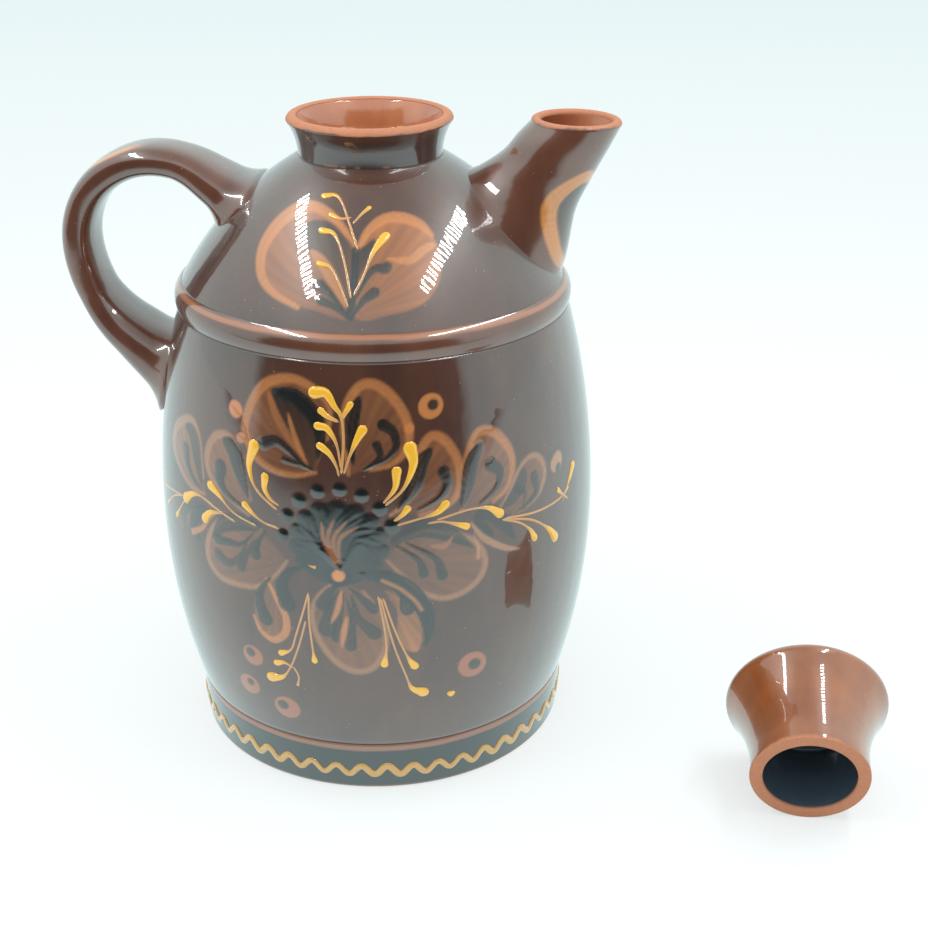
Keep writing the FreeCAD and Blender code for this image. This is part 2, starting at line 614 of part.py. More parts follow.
os.makedirs("parts", exist_ok=True)
for piece in pieces:
    piece.Shape.exportStep(f"parts/{piece.Label}.step")
    box = piece.Shape.BoundBox
    print(f"{piece.Label}: {piece.Shape.Volume / 1000:.1f} cm3, x {box.XMin:.1f}..{box.XMax:.1f}, "
          f"y {box.YMin:.1f}..{box.YMax:.1f}, z {box.ZMin:.2f}..{box.ZMax:.1f}")
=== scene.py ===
# %% [markdown]
# # A slip-painted brown jug and its stopper
# The jug is red clay, thrown in rings, painted with coloured slips and dipped in a clear brown glaze.
# Slip is clay thinned with water. This lesson dresses the jug's CAD solids: it turns smooth walls,
# paints them, lays raised trails of slip on them and lights the glaze.

# %% The CAD frame
import math
import bpy
import bmesh
import numpy as np
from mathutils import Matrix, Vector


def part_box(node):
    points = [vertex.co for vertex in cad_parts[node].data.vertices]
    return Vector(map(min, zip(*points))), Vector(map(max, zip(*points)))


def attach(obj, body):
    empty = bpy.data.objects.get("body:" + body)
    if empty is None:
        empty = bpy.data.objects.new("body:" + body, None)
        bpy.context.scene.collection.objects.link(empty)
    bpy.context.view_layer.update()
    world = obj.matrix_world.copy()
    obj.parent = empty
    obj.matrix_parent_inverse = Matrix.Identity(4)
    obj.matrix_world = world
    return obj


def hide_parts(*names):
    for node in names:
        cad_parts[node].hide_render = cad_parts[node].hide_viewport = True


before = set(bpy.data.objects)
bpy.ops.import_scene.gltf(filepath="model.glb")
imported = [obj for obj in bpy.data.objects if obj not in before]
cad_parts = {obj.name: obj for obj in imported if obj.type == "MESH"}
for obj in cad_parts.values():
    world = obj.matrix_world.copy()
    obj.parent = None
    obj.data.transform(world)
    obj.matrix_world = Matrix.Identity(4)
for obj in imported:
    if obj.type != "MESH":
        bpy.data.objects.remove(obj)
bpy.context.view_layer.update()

print("CAD pieces:", ", ".join(sorted(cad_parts)))

# %% [markdown]
# ## Sizes
# Lengths are in millimetres up to the moment a mesh is made. What the CAD boxes can tell is read from
# them, so the visible walls keep to the solids. The rest repeats the jug's few driving sizes.

# %% Sizes in millimetres
MM = 0.001


def low(node, axis):
    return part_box(node)[0][axis] / MM


def high(node, axis):
    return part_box(node)[1][axis] / MM


FOOT_RADIUS = 85.0
HEEL_RADIUS = FOOT_RADIUS + 1.3
FOOT_TOP = high("foot_band", 2)
BELLY_RADIUS = high("barrel", 0)
BELLY_HEIGHT = 107.0
SHOULDER_RADIUS = BELLY_RADIUS - 12.9
SHOULDER_TOP = high("barrel", 2)
DOME_FOOT = high("shoulder_bead", 2)
DOME_RADIUS = high("shoulder_dome", 0)
DOME_INSIDE = DOME_RADIUS - 6.9
DOME_BULGE = 5.0
NECK_FOOT = high("shoulder_dome", 2)
NECK_RADIUS = 30.8
NECK_WALL = 4.8
LIP_RADIUS = high("neck_collar", 0)
LIP_HEIGHT = NECK_FOOT + 14.3
WALL = 6.0
print(f"belly {2 * BELLY_RADIUS:.1f} mm wide, lip at {LIP_HEIGHT:.1f} mm")

# %% [markdown]
# ## Colours and nodes
# Colours are written as sRGB hex, the way a paint chart gives them. Cycles works in linear light, so
# one function turns them. One more function adds a node with its settings and its links.

# %% Colour and node helpers


def linear(hex_colour):
    """An sRGB hex colour as linear red, green, blue and alpha."""
    shares = [int(hex_colour[at:at + 2], 16) / 255 for at in (1, 3, 5)]
    turned = [s / 12.92 if s <= 0.04045 else ((s + 0.055) / 1.055) ** 2.4 for s in shares]
    return (*turned, 1.0)


def add_node(tree, kind, inputs=None, **settings):
    """Adds a shader node. An input is given a value, a socket to link, or a node, for its first output."""
    node = tree.nodes.new("ShaderNode" + kind)
    for name, setting in settings.items():
        setattr(node, name, setting)
    for name, given in (inputs or {}).items():
        if isinstance(given, bpy.types.Node):
            given = given.outputs[0]
        if isinstance(given, bpy.types.NodeSocket):
            tree.links.new(given, node.inputs[name])
        else:
            node.inputs[name].default_value = given
    return node


def new_material(name):
    """An empty material with its output node, ready for a surface."""
    material = bpy.data.materials.new(name)
    material.use_nodes = True
    material.node_tree.nodes.clear()
    return material, material.node_tree


# %% [markdown]
# ## Camera
# The camera stands a little above the jug and looks down at it, slightly from the spout's side. The
# other views turn this camera round the jug, so it has no depth of field and no shift.

# %% Camera
CAMERA_PLACE = (0.104, -0.6566, 0.4214)
CAMERA_PITCH = 24.45
CAMERA_HEADING = 5.58
LENS = 61.1

camera_data = bpy.data.cameras.new("camera")
camera_data.lens = LENS
camera = bpy.data.objects.new("camera", camera_data)
camera.location = CAMERA_PLACE
camera.rotation_euler = (math.radians(90 - CAMERA_PITCH), 0, math.radians(CAMERA_HEADING))
bpy.context.scene.collection.objects.link(camera)
bpy.context.scene.camera = camera
bpy.context.scene.view_settings.view_transform = "Standard"
print("camera at", CAMERA_PLACE)

# %% [markdown]
# ## Floor and light
# Glossy brown glaze shows its surroundings more than its own colour. Here they are a white tent: a
# white floor and ceiling all round, and a dark side towards the camera, where the tent is open. The
# tent could be built from sheets of cloth. It is in the world's colour instead, which mirrors the same
# and needs no mesh, and the dark side is seen by reflections only.

# %% Floor
FLOOR_WHITE = linear("#FBFFFF")
FLOOR_FAR = linear("#E4F4F6")
TENT_BLUE = linear("#E9FFFF")
FLOOR_FRONT, FLOOR_BACK, FLOOR_SIDE = -0.80, 3.2, 2.6
FLOOR_FADE = 0.45
PLAIN_SHARE = 0.62


def make_floor():
    """A pale sheet, flat under the jug. Its near end falls into the tent's dark opening."""
    mesh = bpy.data.meshes.new("floor")
    mesh.from_pydata([(-FLOOR_SIDE, FLOOR_FRONT, 0), (FLOOR_SIDE, FLOOR_FRONT, 0),
                      (FLOOR_SIDE, FLOOR_BACK, 0), (-FLOOR_SIDE, FLOOR_BACK, 0)], [], [(0, 1, 2, 3)])
    floor = bpy.data.objects.new("floor", mesh)
    bpy.context.scene.collection.objects.link(floor)
    material, tree = new_material("white paper")
    place = add_node(tree, "TexCoord")
    along = add_node(tree, "SeparateXYZ", {0: place.outputs["Object"]})
    lit = add_node(tree, "MapRange", {"Value": along.outputs["Y"], "From Min": FLOOR_FRONT,
                                      "From Max": FLOOR_FRONT + FLOOR_FADE, "To Min": 0.02, "To Max": 1.1},
                   interpolation_type="SMOOTHSTEP")
    path = add_node(tree, "LightPath")
    paper = add_node(tree, "BsdfDiffuse", {"Color": linear("#F2F6F6")})
    depth = add_node(tree, "MapRange", {"Value": along.outputs["Y"], "From Min": 0.3, "From Max": 2.4})
    paler = add_node(tree, "Mix", {0: depth, 6: FLOOR_WHITE, 7: FLOOR_FAR}, data_type="RGBA")
    seen = add_node(tree, "Emission", {"Color": paler.outputs[2], "Strength": 1.0})
    shine = add_node(tree, "Emission", {"Color": TENT_BLUE, "Strength": lit})
    # Seen straight, the floor is mostly its plain colour, and keeps a share of the jug's shadow.
    share = add_node(tree, "Math", {0: path.outputs["Is Camera Ray"], 1: PLAIN_SHARE}, operation="MULTIPLY")
    by_eye = add_node(tree, "MixShader", {0: share, 1: paper, 2: seen})
    both = add_node(tree, "MixShader", {0: path.outputs["Is Glossy Ray"], 1: by_eye, 2: shine})
    add_node(tree, "OutputMaterial", {"Surface": both})
    mesh.materials.append(material)


make_floor()
print("floor from y", FLOOR_FRONT)

# %% World
TENT_WHITE = linear("#F7FFFF")
OPENING_DARK = linear("#1C1A19")
CLOTH_WAVE = 0.10
ROOF_DIM = 0.50


def make_world():
    """A white tent all round. To reflections, it is dark where it is open, low on the camera's side."""
    world = bpy.data.worlds.new("white tent")
    bpy.context.scene.world = world
    world.use_nodes = True
    tree = world.node_tree
    tree.nodes.clear()
    way = add_node(tree, "TexCoord").outputs["Generated"]
    ripple = add_node(tree, "TexNoise", {"Vector": way, "Scale": 9.0, "Detail": 2.0})
    axes = add_node(tree, "SeparateXYZ", {0: way})
    wobble = add_node(tree, "Math", {0: ripple, 1: CLOTH_WAVE}, operation="MULTIPLY")
    height = add_node(tree, "Math", {0: axes.outputs["Z"], 1: wobble}, operation="ADD")
    nearness = add_node(tree, "Math", {0: axes.outputs["Y"], 1: wobble}, operation="ADD")
    under = add_node(tree, "MapRange", {"Value": height, "From Min": 0.48, "From Max": 0.56, "To Min": 1.0,
                                        "To Max": 0.0})
    front = add_node(tree, "MapRange", {"Value": nearness, "From Min": -0.55, "From Max": -0.45,
                                        "To Min": 1.0, "To Max": 0.0})
    opening = add_node(tree, "Math", {0: under, 1: front}, operation="MULTIPLY")
    overhead = add_node(tree, "MapRange", {"Value": height, "From Min": 0.70, "From Max": 1.00,
                                           "To Max": ROOF_DIM})
    dim = add_node(tree, "Math", {0: opening, 1: overhead}, operation="MAXIMUM")
    mirrored = add_node(tree, "LightPath").outputs["Is Glossy Ray"]
    dark = add_node(tree, "Math", {0: dim, 1: mirrored}, operation="MULTIPLY")
    cloth = add_node(tree, "Mix", {0: mirrored, 6: TENT_WHITE, 7: TENT_BLUE}, data_type="RGBA")
    colour = add_node(tree, "Mix", {0: dark, 6: cloth.outputs[2], 7: OPENING_DARK}, data_type="RGBA")
    light = add_node(tree, "Background", {"Color": colour.outputs[2], "Strength": 1.0})
    add_node(tree, "OutputWorld", {"Surface": light})


make_world()

# %% Lamps
LAMP_SIZE = (0.065, 0.013)
LAMPS_IN_STRIP = 22
STRIP_POWER = 2.4


def light_strip(name, start, end):
    """A row of small lamps, like the diodes of a light strip on a tent's roof bar."""
    for number in range(LAMPS_IN_STRIP):
        data = bpy.data.lights.new(f"{name} {number}", "AREA")
        data.shape = "RECTANGLE"
        data.size, data.size_y = LAMP_SIZE
        data.energy = STRIP_POWER / LAMPS_IN_STRIP
        lamp = bpy.data.objects.new(f"{name} {number}", data)
        place = np.array(start) + (np.array(end) - np.array(start)) * number / (LAMPS_IN_STRIP - 1)
        lamp.location = place
        lamp.rotation_euler = (0, math.atan2(place[0], place[2]), 0)
        bpy.context.scene.collection.objects.link(lamp)


light_strip("left strip", (-0.41, 0.13, 0.80), (-0.37, -0.48, 0.80))
light_strip("right strip", (0.50, 0.33, 0.80), (0.40, -0.36, 0.80))

# %% [markdown]
# ## Outlines
# A thrown piece is a turned outline. Each outline here is a few straight lines and round arcs, so a
# few points say it all. An arc is given by its two ends and how far it bulges. Blender's Screw
# modifier could turn such an outline too, but points made in code can also carry the painting.

# %% Outlines of the thrown rings


def circle_of(start, end, bulge):
    """Centre and radius of the arc from start up to end that bulges away from the axis."""
    (r0, z0), (r1, z1) = start, end
    chord = math.hypot(r1 - r0, z1 - z0)
    radius = (chord ** 2 / 4 + bulge ** 2) / (2 * bulge)
    out_r, out_z = (z1 - z0) / chord, -(r1 - r0) / chord
    back = radius - bulge
    return ((r0 + r1) / 2 - out_r * back, (z0 + z1) / 2 - out_z * back), radius


def arc(start, end, bulge, step):
    """Points along an arc, both ends included, about one step apart. A bulge below 0 is a hollow."""
    if bulge < 0:
        return arc(end, start, -bulge, step)[::-1]
    (cr, cz), radius = circle_of(start, end, bulge)
    first = math.atan2(start[1] - cz, start[0] - cr)
    last = math.atan2(end[1] - cz, end[0] - cr)
    swing = (last - first + math.pi) % (2 * math.pi) - math.pi
    angles = first + swing * np.linspace(0, 1, max(2, math.ceil(abs(swing * radius) / step) + 1))
    return np.stack([cr + radius * np.cos(angles), cz + radius * np.sin(angles)], -1)


def flank(height, end_radius, end_height):
    """Radius of the barrel between the belly and one of its ends, one arc that is upright at the belly."""
    drop, rise = BELLY_RADIUS - end_radius, end_height - BELLY_HEIGHT
    radius = (drop ** 2 + rise ** 2) / (2 * drop)
    return BELLY_RADIUS - radius + np.sqrt(radius ** 2 - (height - BELLY_HEIGHT) ** 2)


def barrel_radius(height):
    height = np.asarray(height, float)
    return np.where(height < BELLY_HEIGHT, flank(height, HEEL_RADIUS, FOOT_TOP),
                    flank(height, SHOULDER_RADIUS, SHOULDER_TOP))


DOME_CENTRE, DOME_ARC = circle_of((DOME_RADIUS, DOME_FOOT), (NECK_RADIUS, NECK_FOOT), DOME_BULGE)


def dome_radius(height):
    return DOME_CENTRE[0] + np.sqrt(DOME_ARC ** 2 - (np.asarray(height, float) - DOME_CENTRE[1]) ** 2)


print(f"dome arc {DOME_ARC:.1f} mm about {DOME_CENTRE[0]:.1f}, {DOME_CENTRE[1]:.1f}")

# %% [markdown]
# ## Walls as drawing sheets
# A painter sees the wall as a sheet: so many millimetres across, so many up along the clay. A UV map
# is such a sheet for an image. The paint here is laid on the mesh's own points, so this class unrolls
# a turned wall into a sheet in millimetres, and puts a point of the sheet back on the wall.

# %% A wall that can be painted


class Wall:
    """A turned wall. Strokes are written as (across at the reference radius, height)."""

    def __init__(self, radius_at, bottom, top, reference):
        self.heights = np.linspace(bottom, top, 800)
        self.radii = radius_at(self.heights)
        self.lengths = np.concatenate([[0], np.cumsum(np.hypot(np.diff(self.radii), np.diff(self.heights)))])
        self.reference = reference

    def sheet(self, turn, height):
        """Sheet place of a point given by its turn from the front and its height."""
        return np.stack([turn * np.interp(height, self.heights, self.radii),
                         np.interp(height, self.heights, self.lengths)], -1)

    def drawn(self, points):
        """Sheet places of stroke points."""
        points = np.asarray(points, float)
        return self.sheet(points[:, 0] / self.reference, points[:, 1])

    def point(self, places, lift=0.0):
        """Where sheet places lie in space, lifted off the clay by so many millimetres."""
        across, length = places[..., 0], places[..., 1]
        height = np.interp(length, self.lengths, self.heights)
        radius = np.interp(length, self.lengths, self.radii)
        ahead, rise = (np.interp(length + 0.5, self.lengths, run) - np.interp(length - 0.5, self.lengths, run)
                       for run in (self.radii, self.heights))
        size = np.hypot(ahead, rise)
        out_r, out_z = rise / size, -ahead / size
        turn = across / radius
        reach = radius + lift * out_r
        return np.stack([reach * np.sin(turn), -reach * np.cos(turn), height + lift * out_z], -1)


barrel_wall = Wall(barrel_radius, FOOT_TOP, SHOULDER_TOP, BELLY_RADIUS)
dome_wall = Wall(dome_radius, DOME_FOOT, NECK_FOOT, DOME_RADIUS)
print(f"barrel sheet {barrel_wall.lengths[-1]:.0f} mm tall, dome sheet {dome_wall.lengths[-1]:.0f} mm tall")

# %% [markdown]
# ## Grids
# Every visible surface is a grid of points: rings round a wall, sections along a spout, ribs along a
# trail. A coarse cage with subdivision would soften the rims, so the grids are fine from the start. One
# function turns grids into one smooth mesh. It keeps three facts at each point for the materials: the
# slip's colour and cover, and how bare the clay is.

# %% Grids to meshes


def grid_faces(rows, columns, around):
    """Corner numbers and map places of a grid's quads. Around joins the last column to the first."""
    i, j = np.meshgrid(np.arange(rows - 1), np.arange(columns if around else columns - 1), indexing="ij")
    i, j = i.ravel(), j.ravel()
    beside = (j + 1) % columns
    faces = np.stack([i * columns + j, i * columns + beside, (i + 1) * columns + beside,
                      (i + 1) * columns + j], -1)
    spans = columns if around else columns - 1
    u = np.stack([j, j + 1, j + 1, j], -1) / spans
    v = np.stack([i, i, i + 1, i + 1], -1) / (rows - 1)
    return faces, np.stack([u, v], -1)


def grid_object(name, grids, material, around=True, slip=None, bare=None, body="jug"):
    """One mesh object from grids of points in millimetres, each shaped (rows, columns, 3)."""
    vertices, faces, places, start = [], [], [], 0
    for number, grid in enumerate(grids):
        rows, columns = grid.shape[:2]
        corners, spots = grid_faces(rows, columns, around)
        vertices.append(grid.reshape(-1, 3) * MM)
        faces.append(corners + start)
        spots[..., 1] = (number + 0.02 + 0.96 * spots[..., 1]) / len(grids)
        places.append(spots)
        start += rows * columns
    vertices, faces, places = np.concatenate(vertices), np.concatenate(faces), np.concatenate(places)
    mesh = bpy.data.meshes.new(name)
    mesh.from_pydata(vertices.tolist(), [], faces.tolist())
    mesh.uv_layers.new(name="OFBake").data.foreach_set("uv", places.astype(np.float32).ravel())
    count = len(vertices)
    colours = np.zeros((count, 4)) if slip is None else np.asarray(slip).reshape(count, 4)
    shares = np.zeros(count) if bare is None else np.asarray(bare).reshape(count)
    for fact, kind, field, amounts in (("slip", "FLOAT_COLOR", "color", colours),
                                       ("bare", "FLOAT", "value", shares)):
        mesh.attributes.new(fact, kind, "POINT").data.foreach_set(field, amounts.astype(np.float32).ravel())
    weld = bmesh.new()
    weld.from_mesh(mesh)
    bmesh.ops.remove_doubles(weld, verts=weld.verts[:], dist=1e-7)
    bmesh.ops.recalc_face_normals(weld, faces=weld.faces[:])
    weld.to_mesh(mesh)
    weld.free()
    mesh.shade_smooth()
    mesh.materials.append(material)
    piece = bpy.data.objects.new(name, mesh)
    bpy.context.scene.collection.objects.link(piece)
    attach(piece, body)
    print(f"{name}: {len(mesh.polygons)} faces")
    return piece


def turned(outline, turns):
    """The grid of an outline, given as (radius, height) rows, turned through the given angles."""
    outline = np.asarray(outline, float)
    radius, height = outline[:, :1], outline[:, 1:]
    return np.stack([radius * np.sin(turns), -radius * np.cos(turns), height + 0 * turns], -1)


def slip_coat(grid, colour, cover):
    """Slip of one colour on every point of a grid, covering the share that cover says."""
    coat = np.zeros(grid.shape[:2] + (4,))
    coat[..., :3] = colour[:3]
    coat[..., 3] = cover
    return coat


ALL_ROUND = np.arange(288) / 288 * 2 * math.pi - math.pi


def waver(turn, seed, size):
    """A slow uneven wave round a piece, for edges drawn by hand or left by a dip."""
    return size * (0.5 * np.sin(3 * turn + seed) + 0.3 * np.sin(7 * turn + 2.3 * seed)
                   + 0.2 * np.sin(16 * turn + 4.1 * seed) + 0.15 * np.sin(33 * turn + seed))


def step(value, start, end):
    """Runs smoothly from 0 at start to 1 at end."""
    share = np.clip((value - start) / (end - start), 0, 1)
    return share * share * (3 - 2 * share)


# %% [markdown]
# ## Glazed red clay
# The body is red earthenware under a clear brown lead-type glaze. The glaze is a thin layer of coloured
# glass: it is darker where it pools, it has small pinholes, and it mirrors the room. So the material is
# a dull coloured clay with a glassy coat of a high index. Lead glazes reach an IOR of about 1.8. One
# glossy layer would be simpler, but the painting under it would then look wet and not covered.

# %% Glaze material
GLAZE_INDEX = 1.85
CLAY_INDEX = 1.6
# Patterns repeat this many times in a metre: streaks 15 mm apart, pools 45, grit 3, bald places 11,
# clay grains 1 (coarser than real grog, so that they show) and throwing ripples 13.
STREAKS, POOLS, GRIT, BALD, GRAINS, RIPPLES = 65.0, 22.0, 320.0, 90.0, 900.0, 75.0


def glazed_clay(name, deep, thin, clay="#C4835F", haze=0.36):
    """Red clay under coloured glaze, with painted slip under it and bare clay where it was wiped off."""
    material, tree = new_material(name)
    place = add_node(tree, "TexCoord").outputs["Object"]
    # Glaze pools and runs down the wall in streaks.
    tall = add_node(tree, "Mapping", {"Vector": place, "Scale": (1, 1, 0.25)})
    streaks = add_node(tree, "TexNoise", {"Vector": tall, "Scale": STREAKS, "Detail": 4.0, "Roughness": 0.6})
    pools = add_node(tree, "TexNoise", {"Vector": place, "Scale": POOLS, "Detail": 3.0})
    both = add_node(tree, "Math", {0: streaks, 1: pools}, operation="ADD")
    thickness = add_node(tree, "MapRange", {"Value": both, "From Min": 0.75, "From Max": 1.25})
    glaze = add_node(tree, "Mix", {0: thickness, 6: linear(deep), 7: linear(thin)}, data_type="RGBA")
    # Pinholes about 0.5 mm wide show the clay, a few millimetres apart, in the bald places only.
    grit = add_node(tree, "TexVoronoi", {"Vector": place, "Scale": GRIT})
    holes = add_node(tree, "MapRange", {"Value": grit, "From Min": 0.06, "From Max": 0.12, "To Min": 1.0,
                                        "To Max": 0.0})
    thinned = add_node(tree, "TexNoise", {"Vector": place, "Scale": BALD})
    some = add_node(tree, "MapRange", {"Value": thinned, "From Min": 0.52, "From Max": 0.62, "To Max": 0.55})
    specks = add_node(tree, "Math", {0: holes, 1: some}, operation="MULTIPLY")
    pitted = add_node(tree, "Mix", {0: specks, 6: glaze.outputs[2], 7: linear(clay)}, data_type="RGBA")
    slip = add_node(tree, "Attribute", attribute_name="slip")
    painted = add_node(tree, "Mix", {0: slip.outputs["Alpha"], 6: pitted.outputs[2],
                                     7: slip.outputs["Color"]}, data_type="RGBA")
    grain = add_node(tree, "TexNoise", {"Vector": place, "Scale": GRAINS, "Detail": 3.0})
    speckled = add_node(tree, "Mix", {0: grain, 6: linear(clay), 7: linear("#A9694A")}, data_type="RGBA")
    bare = add_node(tree, "Attribute", attribute_name="bare").outputs["Fac"]
    colour = add_node(tree, "Mix", {0: bare, 6: painted.outputs[2], 7: speckled.outputs[2]}, data_type="RGBA")
    rough = add_node(tree, "MapRange", {"Value": bare, "To Min": haze, "To Max": 0.75})
    coat = add_node(tree, "MapRange", {"Value": bare, "To Min": 1.0, "To Max": 0.0})
    # The wall keeps faint throwing ripples, and the glaze over them is not quite flat.
    ripples = add_node(tree, "TexNoise", {"Vector": place, "Scale": RIPPLES, "Detail": 2.0})
    bump = add_node(tree, "Bump", {"Height": ripples, "Strength": 0.10, "Distance": 1.2 * MM})
    shader = add_node(tree, "BsdfPrincipled", {
        "Base Color": colour.outputs[2], "Roughness": rough, "IOR": CLAY_INDEX, "Coat Weight": coat,
        "Coat Roughness": 0.03, "Coat IOR": GLAZE_INDEX, "Normal": bump, "Coat Normal": bump})
    add_node(tree, "OutputMaterial", {"Surface": shader})
    return material


brown_glaze = glazed_clay("brown glaze on red clay", deep="#432217", thin="#55301F")
thin_glaze = glazed_clay("brown glaze, thin on raised clay", deep="#542A19", thin="#683922")
amber_glaze = glazed_clay("amber glaze on red clay", deep="#84441C", thin="#A05824", haze=0.34)
inside_glaze = glazed_clay("thin glaze inside the neck", deep="#B05C33", thin="#C87644", haze=0.35)
print("materials:", [m.name for m in bpy.data.materials])

# %% [markdown]
# ## A brush
# Slip painters work with one loaded brush. It is pressed down for a round head, then drawn off to a
# thin tail. Petals are a thin wash inside a thicker rim. A pattern made of nodes can't follow a hand's
# strokes, so they are laid one over another on the unrolled wall, and each grid point of the wall
# remembers the colour that ends on top.

# %% Strokes


def smooth_line(points, steps=12, closed=False):
    """A curve through all the points, with evenly shared steps between them."""
    points = np.asarray(points, float)
    if closed:
        padded = np.concatenate([points[-1:], points, points[:2]])
    else:
        padded = np.concatenate([2 * points[:1] - points[1:2], points, 2 * points[-1:] - points[-2:-1]])
    t = (np.arange(steps) / steps)[:, None]
    parts = []
    for a, b, c, d in zip(padded[:-3], padded[1:-2], padded[2:-1], padded[3:]):
        parts.append(0.5 * (2 * b + (c - a) * t + (2 * a - 5 * b + 4 * c - d) * t ** 2
                            + (3 * b - a - 3 * c + d) * t ** 3))
    return np.concatenate(parts + ([] if closed else [points[-1:]]))


MOST_RELIEF = 0.85
FORMS = {
    "comma": lambda t: 0.14 + 0.86 * (1 - t) ** 0.9,
    "leaf": lambda t: 0.12 + 0.88 * np.sin(math.pi * t ** 0.8) ** 0.8,
    "rim": lambda t: 0.35 + 0.65 * np.sin(math.pi * t),
    "line": lambda t: 1 + 0 * t,
}


class Canvas:
    """The paint on one wall: a colour, how much it covers and how proud it stands."""

    def __init__(self, wall, turns, heights):
        turns = (turns + math.pi) % (2 * math.pi) - math.pi
        turn_grid, height_grid = np.meshgrid(turns, heights)
        self.wall = wall
        self.shape = turn_grid.shape
        self.places = wall.sheet(turn_grid.ravel(), height_grid.ravel())
        self.colour = np.zeros((len(self.places), 3))
        self.cover = np.zeros(len(self.places))
        self.relief = np.zeros(len(self.places))

    def near(self, line, margin):
        """Numbers of the grid points in the box round a line."""
        lowest, highest = line.min(0) - margin, line.max(0) + margin
        return np.nonzero(((self.places > lowest) & (self.places < highest)).all(1))[0]

    def lay(self, spots, amount, colour, relief=0.0):
        """Lays slip over what is there already."""
        left = self.cover[spots] * (1 - amount)
        total = np.maximum(amount + left, 1e-6)
        self.colour[spots] = (np.asarray(colour[:3]) * amount[:, None] + self.colour[spots] * left[:, None]) \
            / total[:, None]
        self.cover[spots] = amount + left
        self.relief[spots] = np.minimum(self.relief[spots] + relief * amount, MOST_RELIEF)

    def stroke(self, points, width, colour, form="comma", load=1.0, soft=0.45, relief=0.0, streaks=0.25):
        """One pull of the brush. Width is half the stroke where it is widest."""
        line = smooth_line(self.wall.drawn(points))
        spots = self.near(line, width + 2 * soft)
        if not len(spots):
            return
        place = self.places[spots]
        start, way = line[:-1], np.diff(line, axis=0)
        size = np.maximum((way ** 2).sum(1), 1e-9)
        share = np.clip(((place[:, None] - start) * way).sum(2) / size, 0, 1)
        gap = place[:, None] - start - share[..., None] * way
        far = np.hypot(gap[..., 0], gap[..., 1])
        along = (np.arange(len(start)) + share) / len(start)
        reach = width * FORMS[form](along)
        inside = reach - far
        best = inside.argmax(1)
        rows = np.arange(len(spots))
        inside, along, reach, far = (a[rows, best] for a in (inside, along, reach, far))
        side = np.sign(way[best, 0] * gap[rows, best, 1] - way[best, 1] * gap[rows, best, 0]) * far / reach
        seed = points[0][0] + 2.7 * points[0][1]
        lines = 0.5 + 0.5 * np.sin(6 * side + seed) * np.sin(15 * side + 2 * along + 1.7 * seed)
        amount = load * step(inside, -soft, soft) * (1 - streaks * lines)
        self.lay(spots, amount, colour, relief * np.sqrt(np.clip(inside / reach, 0, 1)))

    def wash(self, outline, colour, load=0.6, streaks=0.5):
        """A thin coat inside a closed outline. Its brush marks fan out from the first point."""
        line = smooth_line(self.wall.drawn(outline), closed=True)
        spots = self.near(line, 1.0)
        if not len(spots):
            return
        place = self.places[spots]
        ahead = np.roll(line, -1, axis=0)
        crossing = (line[:, 1] > place[:, None, 1]) != (ahead[:, 1] > place[:, None, 1])
        rise = ahead[:, 1] - line[:, 1]
        rise = np.where(np.abs(rise) < 1e-9, 1e-9, rise)
        at = line[:, 0] + (place[:, None, 1] - line[:, 1]) * (ahead[:, 0] - line[:, 0]) / rise
        inside = (crossing & (place[:, None, 0] < at)).sum(1) % 2 == 1
        gap = np.hypot(place[:, None, 0] - line[:, 0], place[:, None, 1] - line[:, 1]).min(1)
        along, up = (place - line[0]).T
        angle, reach = np.arctan2(up, along), np.hypot(along, up)
        seed = outline[0][0] + 1.9 * outline[0][1]
        fan = 0.5 + 0.5 * np.sin(13 * angle + seed) * np.sin(29 * angle + 0.05 * reach + 2 * seed)
        fade = 0.45 + 0.55 * reach / max(reach.max(), 1e-6)
        amount = load * inside * step(gap, 0, 1.5) * (1 - streaks * fan) * fade
        self.lay(spots, amount, colour)

    def dot(self, centre, radius, colour, load=1.0, relief=0.15):
        centre = self.wall.drawn([centre])[0]
        spots = self.near(centre[None], radius + 1.5)
        far = np.hypot(*(self.places[spots] - centre).T)
        self.lay(spots, load * step(radius - far, -0.5, 0.5), colour,
                 relief * np.sqrt(np.clip(1 - far / radius, 0, 1)))

    def coat(self, grid, first, outward):
        """Lifts a grid's painted rows by the slip's relief, and gives the slip of all its points."""
        rows = slice(first, first + self.shape[0])
        outward = outward / np.linalg.norm(outward, axis=-1, keepdims=True)
        grid[rows] += outward * self.relief.reshape(self.shape)[..., None]
        return self.slip(grid, rows)

    def slip(self, grid, rows):
        """The slip of a grid that is painted on the given rows alone."""
        slip = slip_coat(grid, (0, 0, 0), 0)
        slip[rows] = np.concatenate([self.colour, self.cover[:, None]], 1).reshape(self.shape + (4,))
        return slip


print("brush forms:", ", ".join(FORMS))

# %% [markdown]
# ## The painting on the barrel
# The front carries one wide flower: a seed head in the middle, two petals above it, three below, and a
# garland of petals to each side. This is a common folk pattern, made of the brush's own shapes. It is
# written stroke by stroke, as it was painted, so any petal can be moved by its own few points. Points
# are millimetres across from the front's middle line, and height above the table.

# %% Slip colours
RIM = linear("#C2783A")
WASH = linear("#9E5E2E")
PALE_RIM = linear("#AE7850")
NIGHT = linear("#0A1416")
SMOKE = linear("#2B2A25")
ROSE = linear("#A9623F")

# Dark strokes, by how thickly the black slip stands and by the brush's form.
DARK = {"colour": NIGHT, "relief": 0.2}
DARK_THICK = {"colour": NIGHT, "relief": 0.25}
DARK_LEAF = {"colour": NIGHT, "relief": 0.2, "form": "leaf"}
FLAT_LEAF = {"colour": NIGHT, "load": 0.9, "form": "leaf"}


